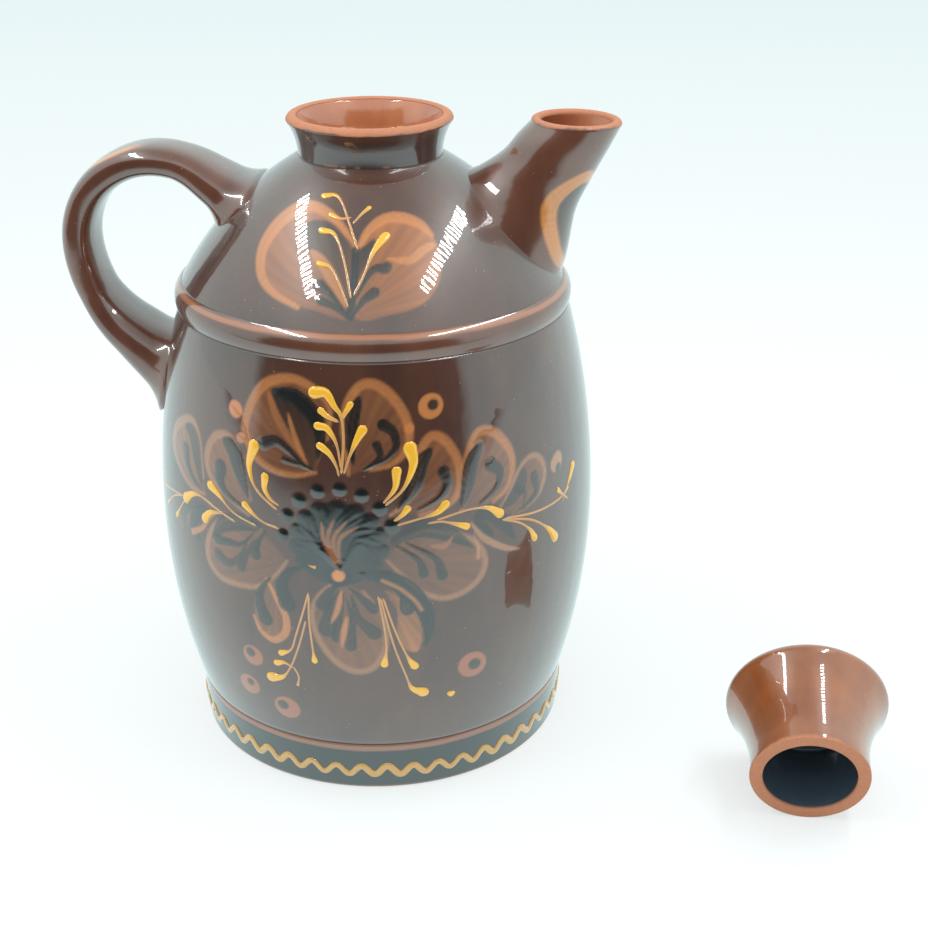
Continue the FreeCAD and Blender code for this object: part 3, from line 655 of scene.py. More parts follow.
def petal(canvas, outline, rim=1.5, load=0.6, colour=RIM):
    """A washed petal with a thicker rim. The outline starts and ends at the petal's foot."""
    canvas.wash(outline, WASH, load=load + 0.08, streaks=0.5)
    canvas.stroke(outline, rim, colour, form="rim", load=0.72, soft=0.9, relief=0.05, streaks=0.3)


def ring_dot(canvas, centre, radius, heart, shift=(0, 0), colour=RIM):
    """A blob of orange slip with a darker blob let into it."""
    canvas.dot(centre, radius, colour, load=0.85)
    canvas.dot((centre[0] + shift[0], centre[1] + shift[1]), heart, NIGHT, load=0.9, relief=0.1)


# %% The upper petals and the garlands


def paint_upper_petals(canvas):
    petal(canvas, [(-11, 158), (-20, 156), (-31, 157), (-40, 162), (-45, 171), (-43, 181), (-37, 190),
                   (-28, 194), (-19, 194), (-10, 190), (-5, 184), (-6, 172)], rim=2.0)
    canvas.wash([(-12, 159), (-20, 166), (-27, 175), (-32, 184), (-33, 190), (-26, 191), (-18, 189),
                 (-11, 184), (-8, 177), (-9, 168)], NIGHT, load=1.0, streaks=0.10)
    canvas.stroke([(-31, 188), (-22, 188), (-13, 182), (-9, 174), (-10, 164)], 3.6, **DARK_LEAF)
    canvas.stroke([(-34, 188), (-30, 180), (-24, 172), (-17, 164)], 1.9, WASH, form="leaf", load=0.8)
    canvas.stroke([(-24, 181), (-21, 173), (-17, 165), (-14, 160)], 1.1, RIM, form="leaf", load=0.7)
    canvas.stroke([(-35, 167), (-29, 169), (-23, 166), (-18, 162), (-12, 159)], 2.8, **DARK_THICK)
    canvas.stroke([(-25, 162), (-20, 161), (-13, 159)], 1.5, **DARK)
    petal(canvas, [(3, 158), (2, 168), (1, 178), (3, 187), (8, 193), (14, 194), (21, 190), (27, 182),
                   (29, 174), (27, 167), (21, 162), (12, 160)], rim=2.0)
    canvas.stroke([(8, 189), (5, 181), (4, 171), (5, 162)], 3.0, **DARK_LEAF)
    canvas.stroke([(18, 178), (22, 175), (23, 169), (18, 164), (9, 160)], 2.6, **DARK_THICK)
    canvas.stroke([(15, 170), (16, 165), (9, 160)], 2.0, **DARK_THICK)


def paint_right_garland(canvas):
    petal(canvas, [(20, 141), (27, 147), (31, 157), (33, 166), (38, 172), (44, 170), (49, 162), (50, 154),
                   (48, 146), (42, 142), (32, 140)], rim=1.9)
    canvas.stroke([(38, 167), (33, 161), (30, 152), (23, 143)], 3.4, **DARK_LEAF)
    canvas.stroke([(43, 157), (44, 151), (40, 146), (31, 142)], 2.7, **DARK_THICK)
    petal(canvas, [(50, 139), (52, 149), (53, 159), (57, 168), (62, 171), (69, 168), (75, 160), (76, 152),
                   (72, 144), (65, 140)], rim=1.9)
    canvas.stroke([(61, 166), (56, 159), (53, 149), (50, 140)], 3.4, **DARK_LEAF)
    canvas.stroke([(65, 156), (69, 152), (67, 146), (58, 140)], 3.0, **DARK_THICK)
    petal(canvas, [(68, 136), (74, 143), (80, 151), (87, 154), (93, 151), (95, 144), (91, 137), (83, 133),
                   (75, 132)], rim=1.2, colour=PALE_RIM, load=0.4)
    canvas.stroke([(82, 150), (80, 144), (75, 139), (69, 136)], 3.4, NIGHT, form="leaf", load=0.8)
    canvas.stroke([(88, 145), (89, 138), (83, 134), (75, 132)], 2.6, NIGHT, load=0.9, relief=0.2)
    canvas.stroke([(78, 142), (82, 139), (80, 134)], 2.0, NIGHT, load=0.8)
    ring_dot(canvas, (104, 146), 4.6, 2.2, (1, -3), PALE_RIM)
    canvas.stroke([(99, 149), (106, 152), (112, 148)], 2.0, SMOKE, load=0.7)


def paint_left_garland(canvas):
    petal(canvas, [(-42, 135), (-53, 140), (-63, 145), (-67, 152), (-66, 159), (-61, 165), (-53, 166),
                   (-47, 160), (-44, 151), (-41, 142)], rim=1.7, colour=PALE_RIM)
    canvas.stroke([(-57, 164), (-51, 161), (-47, 153), (-42, 142)], 4.0, **DARK_LEAF)
    canvas.stroke([(-58, 152), (-58, 146), (-53, 141), (-43, 137)], 3.6, **DARK_THICK)
    petal(canvas, [(-68, 137), (-78, 137), (-89, 142), (-97, 149), (-96, 157), (-89, 163), (-80, 166),
                   (-74, 161), (-71, 152), (-69, 144)], rim=1.9, colour=PALE_RIM, load=0.75)
    canvas.stroke([(-85, 162), (-78, 160), (-74, 151), (-70, 140)], 3.8, NIGHT, form="leaf", load=0.85)
    canvas.stroke([(-84, 152), (-82, 146), (-77, 141), (-70, 138)], 3.3, NIGHT, load=0.85, relief=0.2)
    canvas.stroke([(-100, 143), (-93, 138), (-84, 135)], 3.4, SMOKE, load=0.8)


def paint_side_leaves(canvas):
    petal(canvas, [(-24, 118), (-30, 110), (-39, 103), (-49, 101), (-59, 101), (-66, 106), (-67, 114),
                   (-63, 123), (-56, 129), (-46, 131), (-36, 130)], rim=1.5, colour=PALE_RIM, load=0.45)
    canvas.stroke([(-36, 131), (-46, 131), (-56, 127), (-63, 119)], 4.2, **FLAT_LEAF)
    canvas.stroke([(-60, 119), (-52, 120), (-46, 121), (-39, 128)], 2.4, **DARK)
    canvas.stroke([(-60, 112), (-54, 110), (-48, 114), (-43, 122)], 3.0, NIGHT, relief=0.2, load=0.9)
    canvas.stroke([(-47, 110), (-44, 116), (-40, 124)], 2.4, NIGHT, relief=0.2, load=0.9)
    canvas.stroke([(-39, 118), (-38, 123), (-34, 129)], 2.8, **DARK_THICK)
    canvas.wash([(-58, 132), (-70, 129), (-78, 121), (-86, 114), (-90, 117), (-88, 125), (-80, 131),
                 (-70, 134)], WASH, load=0.5)
    canvas.stroke([(-85, 115), (-86, 123), (-79, 129), (-66, 133)], 3.4, NIGHT, load=0.85, form="leaf")
    canvas.stroke([(-72, 114), (-77, 121), (-71, 128), (-60, 132)], 3.2, NIGHT, load=0.85, form="leaf")
    canvas.stroke([(-78, 116), (-70, 121), (-64, 128), (-58, 132)], 1.5, RIM, load=0.8)
    petal(canvas, [(18, 121), (25, 113), (33, 105), (42, 101), (52, 103), (59, 109), (60, 117), (55, 125),
                   (46, 130), (34, 133), (24, 130)], rim=1.4, colour=PALE_RIM, load=0.4)
    canvas.stroke([(20, 129), (32, 134), (44, 130), (55, 122)], 4.0, **FLAT_LEAF)
    canvas.stroke([(33, 114), (31, 120), (22, 127)], 2.4, **DARK_THICK)
    canvas.stroke([(41, 112), (38, 120), (26, 128)], 2.6, **DARK_THICK)
    canvas.stroke([(36, 126), (42, 125), (46, 129)], 1.2, WASH, load=0.8, form="leaf")
    canvas.stroke([(56, 135), (63, 136), (70, 129), (75, 121)], 3.8, **FLAT_LEAF)
    canvas.stroke([(56, 133), (61, 127), (64, 122)], 3.0, **FLAT_LEAF)
    canvas.stroke([(78, 115), (70, 118), (60, 125), (54, 133)], 1.5, PALE_RIM, load=0.85, form="rim")
    canvas.stroke([(57, 117), (57, 122), (55, 128)], 1.0, PALE_RIM, load=0.9)


# %% The seed head and the lower petals


SEED_HEAD = (-2, 128)
SEED_FOOT = (-1, 116)


def on_oval(degrees, across, up, ahead=0.0):
    """A place on an oval round the seed head's middle."""
    way = math.radians(degrees) + ahead
    return SEED_HEAD[0] + across * math.cos(way), SEED_HEAD[1] + up * math.sin(way)


def paint_seed_head(canvas):
    canvas.dot(SEED_HEAD, 18.5, linear("#141D1F"), load=0.85, relief=0)
    for turn in range(-35, 216, 25):
        canvas.stroke([on_oval(turn, 17.5, 15.5), on_oval(turn, 9, 5, 0.45), SEED_FOOT], 3.9, NIGHT, load=0.9,
                      relief=0.3)
    for turn in (48, 72, 96, 120):
        canvas.stroke([on_oval(turn, 13, 11), on_oval(turn, 6, 2, 0.6), SEED_FOOT], 0.9, WASH, load=0.8,
                      form="leaf")
    for turn in range(18, 182, 23):
        across, up = on_oval(turn, 23.5, 23)
        canvas.dot((across, up + 1), 2.8, NIGHT, relief=0.6)
    canvas.dot((-2, 114), 5.5, NIGHT, load=0.8, relief=0)
    canvas.dot((-2, 114), 2.7, linear("#C9783B"), relief=0.4)


def paint_lower_petals(canvas):
    canvas.wash([(-30, 110), (-38, 103), (-42, 93), (-41, 84), (-35, 78), (-29, 79), (-26, 86), (-26, 93),
                 (-29, 101)], WASH, load=0.6)
    canvas.stroke([(-34, 108), (-30, 100), (-26, 91), (-27, 83), (-33, 78), (-39, 81), (-42, 88)], 1.8, RIM,
                  load=0.9, form="rim", relief=0.1)
    canvas.stroke([(-36, 88), (-38, 95), (-37, 102), (-32, 109)], 3.6, **DARK)
    canvas.stroke([(-25, 98), (-27, 106), (-23, 113), (-15, 117)], 4.0, **DARK)
    petal(canvas, [(-3, 111), (-10, 105), (-14, 96), (-13, 86), (-9, 77), (-3, 70), (4, 67), (11, 69),
                   (16, 77), (17, 87), (15, 97), (8, 107)], rim=1.5, colour=PALE_RIM, load=0.5)
    for points, width in (([(-9, 100), (-6, 106), (-2, 110)], 3.4), ([(-8, 88), (-6, 97), (-2, 107)], 4.0),
                          ([(-4, 84), (-2, 94), (0, 106)], 2.4), ([(12, 99), (7, 104), (2, 109)], 2.8),
                          ([(12, 87), (6, 94), (3, 105)], 3.4), ([(2, 80), (3, 92), (1, 104)], 2.6)):
        canvas.stroke(points, width, NIGHT, relief=0.2, load=0.92)
    canvas.stroke([(-1, 107), (-3, 98), (-6, 91)], 1.3, RIM, load=0.8, form="leaf")
    canvas.stroke([(1, 95), (-1, 86), (-2, 79)], 1.3, RIM, load=0.8, form="leaf")
    canvas.wash([(16, 108), (21, 98), (21, 87), (24, 78), (31, 76), (33, 86), (30, 96), (24, 104)], RIM,
                load=0.75)
    canvas.stroke([(6, 115), (18, 113), (27, 107), (33, 97), (35, 87), (34, 79)], 4.0, **DARK_LEAF)
    canvas.stroke([(26, 98), (24, 105), (17, 111)], 3.2, **DARK)
    canvas.stroke([(16, 112), (23, 108), (29, 102), (32, 97)], 0.8, RIM, load=0.7, form="line")


def paint_dots(canvas):
    canvas.dot((-51, 178), 3.6, linear("#C27236"), load=0.9)
    canvas.dot((-47, 167), 2.2, linear("#B56D3B"), load=0.85)
    canvas.dot((29, 176), 2.1, linear("#C27236"), load=0.85)
    ring_dot(canvas, (39, 184), 5.2, 2.3, (1, 0.5))
    ring_dot(canvas, (-46, 66), 5.4, 2.5, (-1, 1.5), ROSE)
    ring_dot(canvas, (-52, 48), 5.6, 2.1, (1, 1.5), ROSE)
    ring_dot(canvas, (-32, 41), 6.4, 2.8, (-2, 1), ROSE)
    ring_dot(canvas, (56, 64), 6.8, 3.0, (1, 0), ROSE)


def paint_barrel(canvas):
    for part in (paint_side_leaves, paint_lower_petals, paint_left_garland, paint_right_garland,
                 paint_upper_petals, paint_seed_head, paint_dots):
        part(canvas)


print("barrel painting ready")

# %% [markdown]
# ## The barrel, bead, dome and neck
# Each ring of the jug is turned from its outline, outer side and inner side in one closed loop. The
# grid is fine where the painting is, so that soft brush edges survive, and coarse at the back.

# %% Barrel
PAINT_STEP = 0.75
PAINT_LEFT, PAINT_RIGHT = -112, 122
PAINT_BOTTOM, PAINT_TOP = 33, 197
BACK_STEP = 6.0
FOOT_INSET = 5.0
FLOOR_INSIDE = 7.0


def painted_turns(left, right, radius, fine, coarse):
    """Angles round a wall, closely spaced between two places across its front."""
    front = np.arange(left, right, fine)
    end = left + 2 * math.pi * radius
    back = np.linspace(right, end, math.ceil((end - right) / coarse), endpoint=False)
    return np.concatenate([front, back]) / radius


def make_barrel():
    turns = painted_turns(PAINT_LEFT, PAINT_RIGHT, BELLY_RADIUS, PAINT_STEP, BACK_STEP)
    heights = np.concatenate([[FOOT_TOP, FOOT_TOP + 0.3, FOOT_TOP + 1.0],
                              np.arange(FOOT_TOP + 3, PAINT_BOTTOM, 3),
                              np.arange(PAINT_BOTTOM, PAINT_TOP, PAINT_STEP),
                              np.linspace(PAINT_TOP, SHOULDER_TOP, 6)])
    canvas = Canvas(barrel_wall, turns, heights)
    paint_barrel(canvas)
    outside = np.stack([barrel_radius(heights), heights], -1)
    # The lowest rows turn in, which draws the groove above the foot band.
    outside[0, 0] -= 1.2
    outside[1, 0] -= 0.3
    inside = [(SHOULDER_RADIUS - WALL, SHOULDER_TOP), (88.5, 160), (BELLY_RADIUS - WALL, BELLY_HEIGHT),
              (84.4, 50), (67, FLOOR_INSIDE), (0, FLOOR_INSIDE)]
    under = [(0, 0), (FOOT_RADIUS - FOOT_INSET, 0), (FOOT_RADIUS - FOOT_INSET, FOOT_TOP)]
    grid = turned(np.concatenate([under, outside, inside]), turns)
    first = len(under)
    slip = canvas.coat(grid, first, grid[first:first + len(heights)] * (1, 1, 0))
    barrel = grid_object("barrel_wall", [grid], brown_glaze, slip=slip)
    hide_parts("barrel")


make_barrel()

# %% [markdown]
# ## The dome's flower
# A smaller flower of two petals sits on the dome. The barrel's flower is too wide to be copied there,
# so this one has strokes of its own, on the dome's own sheet.

# %% Dome


def paint_dome(canvas):
    canvas.wash([(4, 219), (-12, 220), (-30, 223), (-42, 230), (-49, 239), (-48, 248), (-38, 253), (-26, 254),
                 (-13, 252), (-3, 247), (4, 241)], linear("#B0662C"), load=0.8, streaks=0.4)
    canvas.wash([(4, 219), (20, 219), (34, 222), (44, 229), (49, 238), (48, 244), (42, 249), (32, 251),
                 (21, 251), (11, 247), (5, 241)], linear("#B0662C"), load=1.0, streaks=0.35)
    canvas.stroke([(4, 241), (-4, 247), (-15, 251.5), (-28, 253.5), (-40, 252), (-48, 246), (-49, 238),
                   (-43, 230), (-34, 225), (-20, 221)], 3.0, RIM, form="rim", load=0.9, soft=0.8)
    canvas.stroke([(5, 241), (11, 247), (21, 250.5), (32, 250.5), (42, 248), (47, 244)], 2.6, RIM, form="rim",
                  load=0.9, soft=0.8)
    canvas.stroke([(47, 241), (40, 240), (31, 237), (20, 238)], 2.2, RIM, form="leaf", load=0.8)
    canvas.wash([(3, 219), (-4, 226), (-12, 232), (-20, 238), (-28, 243), (-32, 247), (-24, 250),
                 (-12, 249.5), (-3, 246), (4, 240)], NIGHT, load=1.0, streaks=0.12)
    canvas.wash([(3, 219), (5, 228), (9, 234), (14, 240), (15, 245), (9, 243), (4, 239)], NIGHT, load=1.0,
                streaks=0.1)
    canvas.stroke([(4, 241), (4, 230), (3, 219)], 1.6, NIGHT, form="line")
    canvas.stroke([(-20, 240), (-12, 236), (-4, 229), (1, 222)], 2.6, RIM, form="leaf", load=0.75)
    canvas.stroke([(-12, 229), (-6, 226), (2, 219)], 2.6, **DARK)
    canvas.stroke([(-10, 224), (-4, 222), (2, 218)], 2.0, **DARK)
    canvas.stroke([(19, 235), (12, 234), (5, 225)], 2.6, **DARK_THICK)
    canvas.stroke([(13, 227), (8, 224), (3, 218)], 2.4, **DARK_THICK)


def make_dome():
    turns = painted_turns(-56, 56, DOME_RADIUS, PAINT_STEP, 3.0)
    heights = np.concatenate([np.linspace(DOME_FOOT, 217, 4), np.arange(217.6, 257, 0.6),
                              np.linspace(257.5, NECK_FOOT, 12)])
    canvas = Canvas(dome_wall, turns, heights)
    paint_dome(canvas)
    outside = np.stack([dome_radius(heights), heights], -1)
    inside = arc((NECK_RADIUS - NECK_WALL, NECK_FOOT - 2.3), (DOME_INSIDE, DOME_FOOT), -DOME_BULGE, 4.0)
    grid = turned(np.concatenate([outside, inside]), turns)
    slip = canvas.coat(grid, 0, grid[:len(heights)] - (0, 0, DOME_CENTRE[1]))
    dome = grid_object("dome_wall", [grid], brown_glaze, slip=slip)
    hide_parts("shoulder_dome")
    return dome


dome = make_dome()

# %% [markdown]
# ## Bead and neck
# The bead is a plain ring. A line of worn, bare clay runs along the groove above it. The neck collar
# was wiped clean at its lip before firing, so the lip is bare, and the glaze starts just below it. A
# band painted by height alone would be dead straight, so each edge wavers a little round the jug.

# %% Bead and neck collar
BARE_LINE = linear("#AE6A42")


def make_bead():
    outside = arc((SHOULDER_RADIUS, SHOULDER_TOP), (DOME_RADIUS, DOME_FOOT), 2.4, 0.7)
    inside = [(DOME_INSIDE, DOME_FOOT), (SHOULDER_RADIUS - WALL, SHOULDER_TOP)]
    grid = turned(np.concatenate([outside, inside, outside[:1]]), ALL_ROUND)
    slip = slip_coat(grid, BARE_LINE, 0)
    line_height = DOME_FOOT - 1.6 + waver(ALL_ROUND, 1.3, 0.35)
    near = np.abs(grid[:len(outside), :, 2] - line_height)
    slip[:len(outside), :, 3] = 0.8 * step(near, 1.15, 0.55)
    bead = grid_object("shoulder_ring", [grid], thin_glaze, slip=slip)
    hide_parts("shoulder_bead")


def make_collar():
    lip_inside = (LIP_RADIUS - NECK_WALL, LIP_HEIGHT + 1.5)
    outside = arc((NECK_RADIUS, NECK_FOOT), (LIP_RADIUS, LIP_HEIGHT), -1.0, 0.6)
    crown = arc((LIP_RADIUS, LIP_HEIGHT), lip_inside, 1.7, 0.4)[1:]
    inside = arc(lip_inside, (NECK_RADIUS - NECK_WALL, NECK_FOOT - 2.5), 1.0, 0.8)[1:]
    outer = np.concatenate([outside, crown])
    grid = turned(outer, ALL_ROUND)
    height = grid[..., 2]
    bare = step(height + waver(ALL_ROUND, 0.7, 0.7), LIP_HEIGHT - 0.2, LIP_HEIGHT + 0.5)
    worn = waver(ALL_ROUND, 2.0, 1.0) > 0.4
    bare = np.maximum(bare, 0.5 * step(height, NECK_FOOT + 1.2, NECK_FOOT) * worn)
    # The glaze ran down from the lip and pooled dark in the hollow of the collar.
    pooled = step(height + waver(ALL_ROUND, 1.1, 0.8), LIP_HEIGHT - 1.5, LIP_HEIGHT - 4.0)
    slip = slip_coat(grid, linear("#2A140D"), 0.75 * pooled)
    collar = grid_object("neck_ring", [grid], brown_glaze, slip=slip, bare=bare)
    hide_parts("neck_collar")
    grid = turned(np.concatenate([crown[-2:], inside]), ALL_ROUND)
    throat = grid_object("neck_lining", [grid], inside_glaze,
                         bare=0.5 * step(grid[..., 2], LIP_HEIGHT - 0.5, LIP_HEIGHT + 1.4))


make_bead()
make_collar()

# %% [markdown]
# ## Foot band
# The band is dipped in black slip, with a bare line left at its top edge and its very bottom. A wavy
# line of ochre slip is trailed round it with a fine spout, so it stands up like piping on a cake.

# %% Foot band
BAND_BLACK = linear("#0C1A1B")
BAND_BROWN = linear("#8F5B44")
# The wave turns this many times round the foot. Its height is from trough to crest.
WAVES = 47
WAVE_HEIGHT = 4.4
WAVE_MIDDLE = 9.6
WAVE_LIFT = 0.62


def make_foot_band():
    outside = np.array([(FOOT_RADIUS - FOOT_INSET, 0), (FOOT_RADIUS - 1.4, 0), (FOOT_RADIUS - 0.5, 0.4),
                        (FOOT_RADIUS, 1.3), (FOOT_RADIUS + 0.02, 1.8), (FOOT_RADIUS + 0.4, 8),
                        (FOOT_RADIUS + 0.9, 16)])
    edge = np.linspace(19.6, FOOT_TOP - 0.7, 10)
    top = np.concatenate([np.stack([HEEL_RADIUS - 0.15 + 0 * edge, edge], -1),
                          [(HEEL_RADIUS - 1.0, FOOT_TOP - 0.1), (HEEL_RADIUS - 1.8, FOOT_TOP),
                           (FOOT_RADIUS - FOOT_INSET, FOOT_TOP)]])
    rise = np.linspace(0, 1, 24)[1:-1, None]
    between = outside[-1] + rise * (top[0] - outside[-1])
    grid = turned(np.concatenate([outside, between, top]), ALL_ROUND)
    height = grid[..., 2]
    upper = step(height + waver(ALL_ROUND, 0.4, 0.3), FOOT_TOP - 3.6, FOOT_TOP - 2.6)[..., None]
    slip = upper * slip_coat(grid, BAND_BROWN, 1) + (1 - upper) * slip_coat(grid, BAND_BLACK, 1)
    bare = 0.6 * step(height + waver(ALL_ROUND, 1.9, 0.3), 1.7, 1.0)
    band = grid_object("foot_ring", [grid], brown_glaze, slip=slip, bare=bare)
    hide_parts("foot_band")


make_foot_band()

# %% [markdown]
# ## Raised trails
# Yellow slip was trailed on through a fine nozzle: a fat drop where it starts, drawn out to a thread.
# It could be a bevelled curve, but that has one section all along. Here each trail is a small solid of
# its own, a flattened tube half sunk into the wall, so it catches light along its crown. Thick slip is
# a strong yellow, and threads let the red clay through.

# %% Trail builder
TRAIL_STEP = 0.7
TRAIL_HEIGHT = 0.34
HEAD_SHARE = 0.88
TUBE_TURNS = np.arange(8) / 8 * 2 * math.pi


def sides_of(middle):
    """The direction across a line on a sheet, at each of its points."""
    way = np.gradient(middle, axis=0)
    way /= np.maximum(np.linalg.norm(way, axis=1, keepdims=True), 1e-9)
    return np.stack([-way[:, 1], way[:, 0]], -1)


def trail_grid(wall, points, head, tail, draw):
    """A tube along stroke points on a wall. Its head is drawn out to a thread over draw times its width."""
    head *= HEAD_SHARE
    line = smooth_line(wall.drawn(points), steps=16)
    lengths = np.concatenate([[0], np.cumsum(np.hypot(*np.diff(line, axis=0).T))])
    count = max(6, math.ceil(lengths[-1] / TRAIL_STEP))
    share = np.concatenate([1 - np.cos(np.linspace(0, math.pi / 2, 7)[:-1]), np.linspace(1, count, count)])
    along = share / share[-1] * (lengths[-1] + head) - head
    middle = np.stack([np.interp(along, lengths, line[:, k]) for k in (0, 1)], -1)
    first_way = (line[1] - line[0]) / np.linalg.norm(line[1] - line[0])
    middle[along < 0] = line[0] + first_way * along[along < 0, None]
    width = tail + (head - tail) * np.clip(1 - along.clip(0) / (draw * head), 0, 1) ** 1.4
    cap = np.sqrt(np.clip(1 - ((head - (along + head)).clip(0) / head) ** 2, 0, 1))
    end = np.sqrt(np.clip((lengths[-1] - along) / (2 * tail), 0, 1))
    width = np.maximum(width * np.minimum(cap, end), 0.02)
    across = width[:, None] * np.cos(TUBE_TURNS)
    tall = (TRAIL_HEIGHT * width[:, None] ** 0.75) * np.sin(TUBE_TURNS)
    places = middle[:, None] + sides_of(middle)[:, None] * across[..., None]
    return wall.point(places, tall), np.repeat(step(width, 0.35, 1.5), len(TUBE_TURNS))


def make_trails(name, wall, trails, draw):
    grids, loads = zip(*(trail_grid(wall, points, head, tail, draw) for points, head, tail in trails))
    slip = np.repeat(np.concatenate(loads)[:, None], 4, 1)
    piece = grid_object(name, list(grids), yellow_slip, slip=slip)


def trailed_slip(name, thick, thread):
    """Slip under clear glaze: opaque where it is thick, browner where it was drawn out to a thread."""
    material, tree = new_material(name)
    place = add_node(tree, "TexCoord").outputs["Object"]
    load = add_node(tree, "Attribute", attribute_name="slip")
    # The cover is uneven in clouds about 3 mm wide.
    cloud = add_node(tree, "TexNoise", {"Vector": place, "Scale": 350.0, "Detail": 2.0})
    uneven = add_node(tree, "Math", {0: cloud, 1: 0.5}, operation="MULTIPLY")
    cover = add_node(tree, "Math", {0: load.outputs["Alpha"], 1: uneven}, operation="ADD")
    share = add_node(tree, "MapRange", {"Value": cover, "From Min": 0.15, "From Max": 1.1})
    colour = add_node(tree, "Mix", {0: share, 6: linear(thread), 7: linear(thick)}, data_type="RGBA")
    shader = add_node(tree, "BsdfPrincipled", {
        "Base Color": colour.outputs[2], "Roughness": 0.35, "Coat Weight": 1.0, "Coat Roughness": 0.04,
        "Coat IOR": GLAZE_INDEX})
    add_node(tree, "OutputMaterial", {"Surface": shader})
    return material


yellow_slip = trailed_slip("yellow trailed slip", "#EBAE1C", "#B88258")
ochre_slip = trailed_slip("ochre trailed slip", "#C9984A", "#B58650")

# %% Trails on the barrel
CROWN_TRAILS = [
    ([(-12, 190), (-7, 190), (-3, 185), (0, 181), (1, 172), (0, 158)], 3.0, 0.6),
    ([(4, 186), (2, 183), (0, 180)], 1.6, 0.6),
    ([(-10, 177), (-6, 176), (-2, 170), (0, 160)], 2.2, 0.5),
    ([(-9, 183), (-6, 181), (-1, 179)], 1.7, 0.5),
    ([(-9, 169), (-5, 166), (-2, 161), (-1, 157)], 2.0, 0.5),
    ([(9, 176), (6, 171), (3, 164), (1, 158)], 2.4, 0.5),
    ([(29, 168), (30, 161), (25, 151), (15, 143)], 3.3, 0.6),
    ([(23, 159), (22, 152), (17, 146), (13, 143)], 2.4, 0.5),
    ([(-40, 165), (-42, 156), (-38, 147), (-28, 140)], 3.1, 0.6),
    ([(-34, 153), (-34, 148), (-31, 144), (-27, 142)], 2.2, 0.5),
]
GARLAND_TRAILS = [
    ([(27, 143), (24, 140), (18, 136)], 1.8, 0.5),
    ([(43, 143), (39, 140), (30, 138), (21, 136)], 2.3, 0.5),
    ([(52, 132), (47, 134), (41, 136), (35, 136)], 1.9, 0.5),
    ([(68, 134), (62, 138), (52, 139), (39, 137)], 2.5, 0.5),
    ([(87, 117), (84, 122), (78, 127), (69, 131)], 2.0, 0.5),
    ([(101, 112), (96, 118), (85, 126), (70, 131)], 2.8, 0.55),
    ([(118, 139), (113, 133), (107, 129), (90, 128.5), (71, 131)], 2.4, 0.55),
    ([(104, 133), (107, 130), (112, 126)], 1.4, 0.5),
    ([(112, 131), (109, 129), (107, 126)], 1.1, 0.5),
    ([(-64, 142), (-58, 139), (-50, 134), (-38, 131)], 2.5, 0.5),
    ([(-44, 139), (-38, 135), (-33, 133), (-27, 132)], 1.9, 0.5),
    ([(-83, 130), (-77, 134), (-70, 135), (-57, 132), (-49, 130)], 3.0, 0.5),
    ([(-68, 126), (-64, 130), (-56, 132)], 2.6, 0.5),
    ([(-93, 118), (-88, 124), (-83, 130)], 1.6, 0.5),
    ([(-105, 119), (-96, 126), (-86, 130)], 1.2, 0.5),
    ([(-108, 126), (-98, 128), (-86, 130)], 1.0, 0.5),
]
TASSEL_TRAILS = [
    ([(-14.5, 71), (-15, 80), (-15.5, 92), (-15, 104)], 1.7, 0.5),
    ([(-30, 72), (-25, 75), (-22, 83), (-18, 95), (-15, 105)], 1.9, 0.5),
    ([(-37, 57), (-31, 59), (-26, 66), (-21, 78), (-17, 91)], 3.2, 0.5),
    ([(-33, 66), (-29, 67), (-25, 65)], 2.0, 0.6),
    ([(-24, 56), (-23, 61), (-25, 66)], 0.9, 0.5),
    ([(16, 71), (17, 80), (16, 92), (14, 105)], 2.1, 0.5),
    ([(29, 69), (26, 74), (21, 87), (16, 104)], 2.3, 0.5),
    ([(33, 54), (28, 57), (25, 65), (20, 81), (15, 104)], 3.1, 0.5),
    ([(46.5, 49.5), (46.5, 48.5)], 2.9, 1.6),
    ([(-12, 117), (-14, 117.5), (-18, 119)], 0.9, 0.4),
]
make_trails("crown_trails", barrel_wall, CROWN_TRAILS, 7.0)
make_trails("garland_trails", barrel_wall, GARLAND_TRAILS, 5.5)
make_trails("tassel_trails", barrel_wall, TASSEL_TRAILS, 3.6)

# %% Trails on the dome and the foot
DOME_TRAILS = [
    ([(-24, 257), (-15, 257.5), (-8, 255), (-2, 250), (5, 241)], 1.7, 0.5),
    ([(-14, 251.5), (-7, 250.5), (0, 251)], 1.4, 0.5),
    ([(11, 254), (6, 252), (1, 249)], 1.2, 0.5),
    ([(-17, 246.5), (-9, 245.5), (-2, 238), (3, 225)], 1.8, 0.5),
    ([(20, 245), (13, 240), (8, 232), (4, 226)], 2.4, 0.5),
    ([(-14, 236), (-8, 235), (-3, 230), (2, 222)], 1.5, 0.5),
]
make_trails("dome_trails", dome_wall, DOME_TRAILS, 7.0)


def make_wave():
    """The trailed wave: a closed tube that runs up and down round the band."""
    steps = WAVES * 16
    turn = np.arange(steps + 1) / steps * 2 * math.pi
    height = WAVE_MIDDLE + WAVE_HEIGHT / 2 * np.sin(WAVES * turn) + waver(turn, 3.0, 0.6)
    radius = FOOT_RADIUS + 0.06 * height
    middle = np.stack([radius * turn, height], -1)
    width = 1.6 + 0.2 * np.sin(9 * turn)
    place = middle[:, None] + sides_of(middle)[:, None] * (width[:, None] * np.cos(TUBE_TURNS))[..., None]
    turns = place[..., 0] / radius[:, None]
    reach = radius[:, None] + WAVE_LIFT * np.sin(TUBE_TURNS)
    grid = np.stack([reach * np.sin(turns), -reach * np.cos(turns), place[..., 1]], -1)
    wave = grid_object("foot_wave", [grid], ochre_slip, slip=slip_coat(grid, (1, 1, 1), 1))


make_wave()

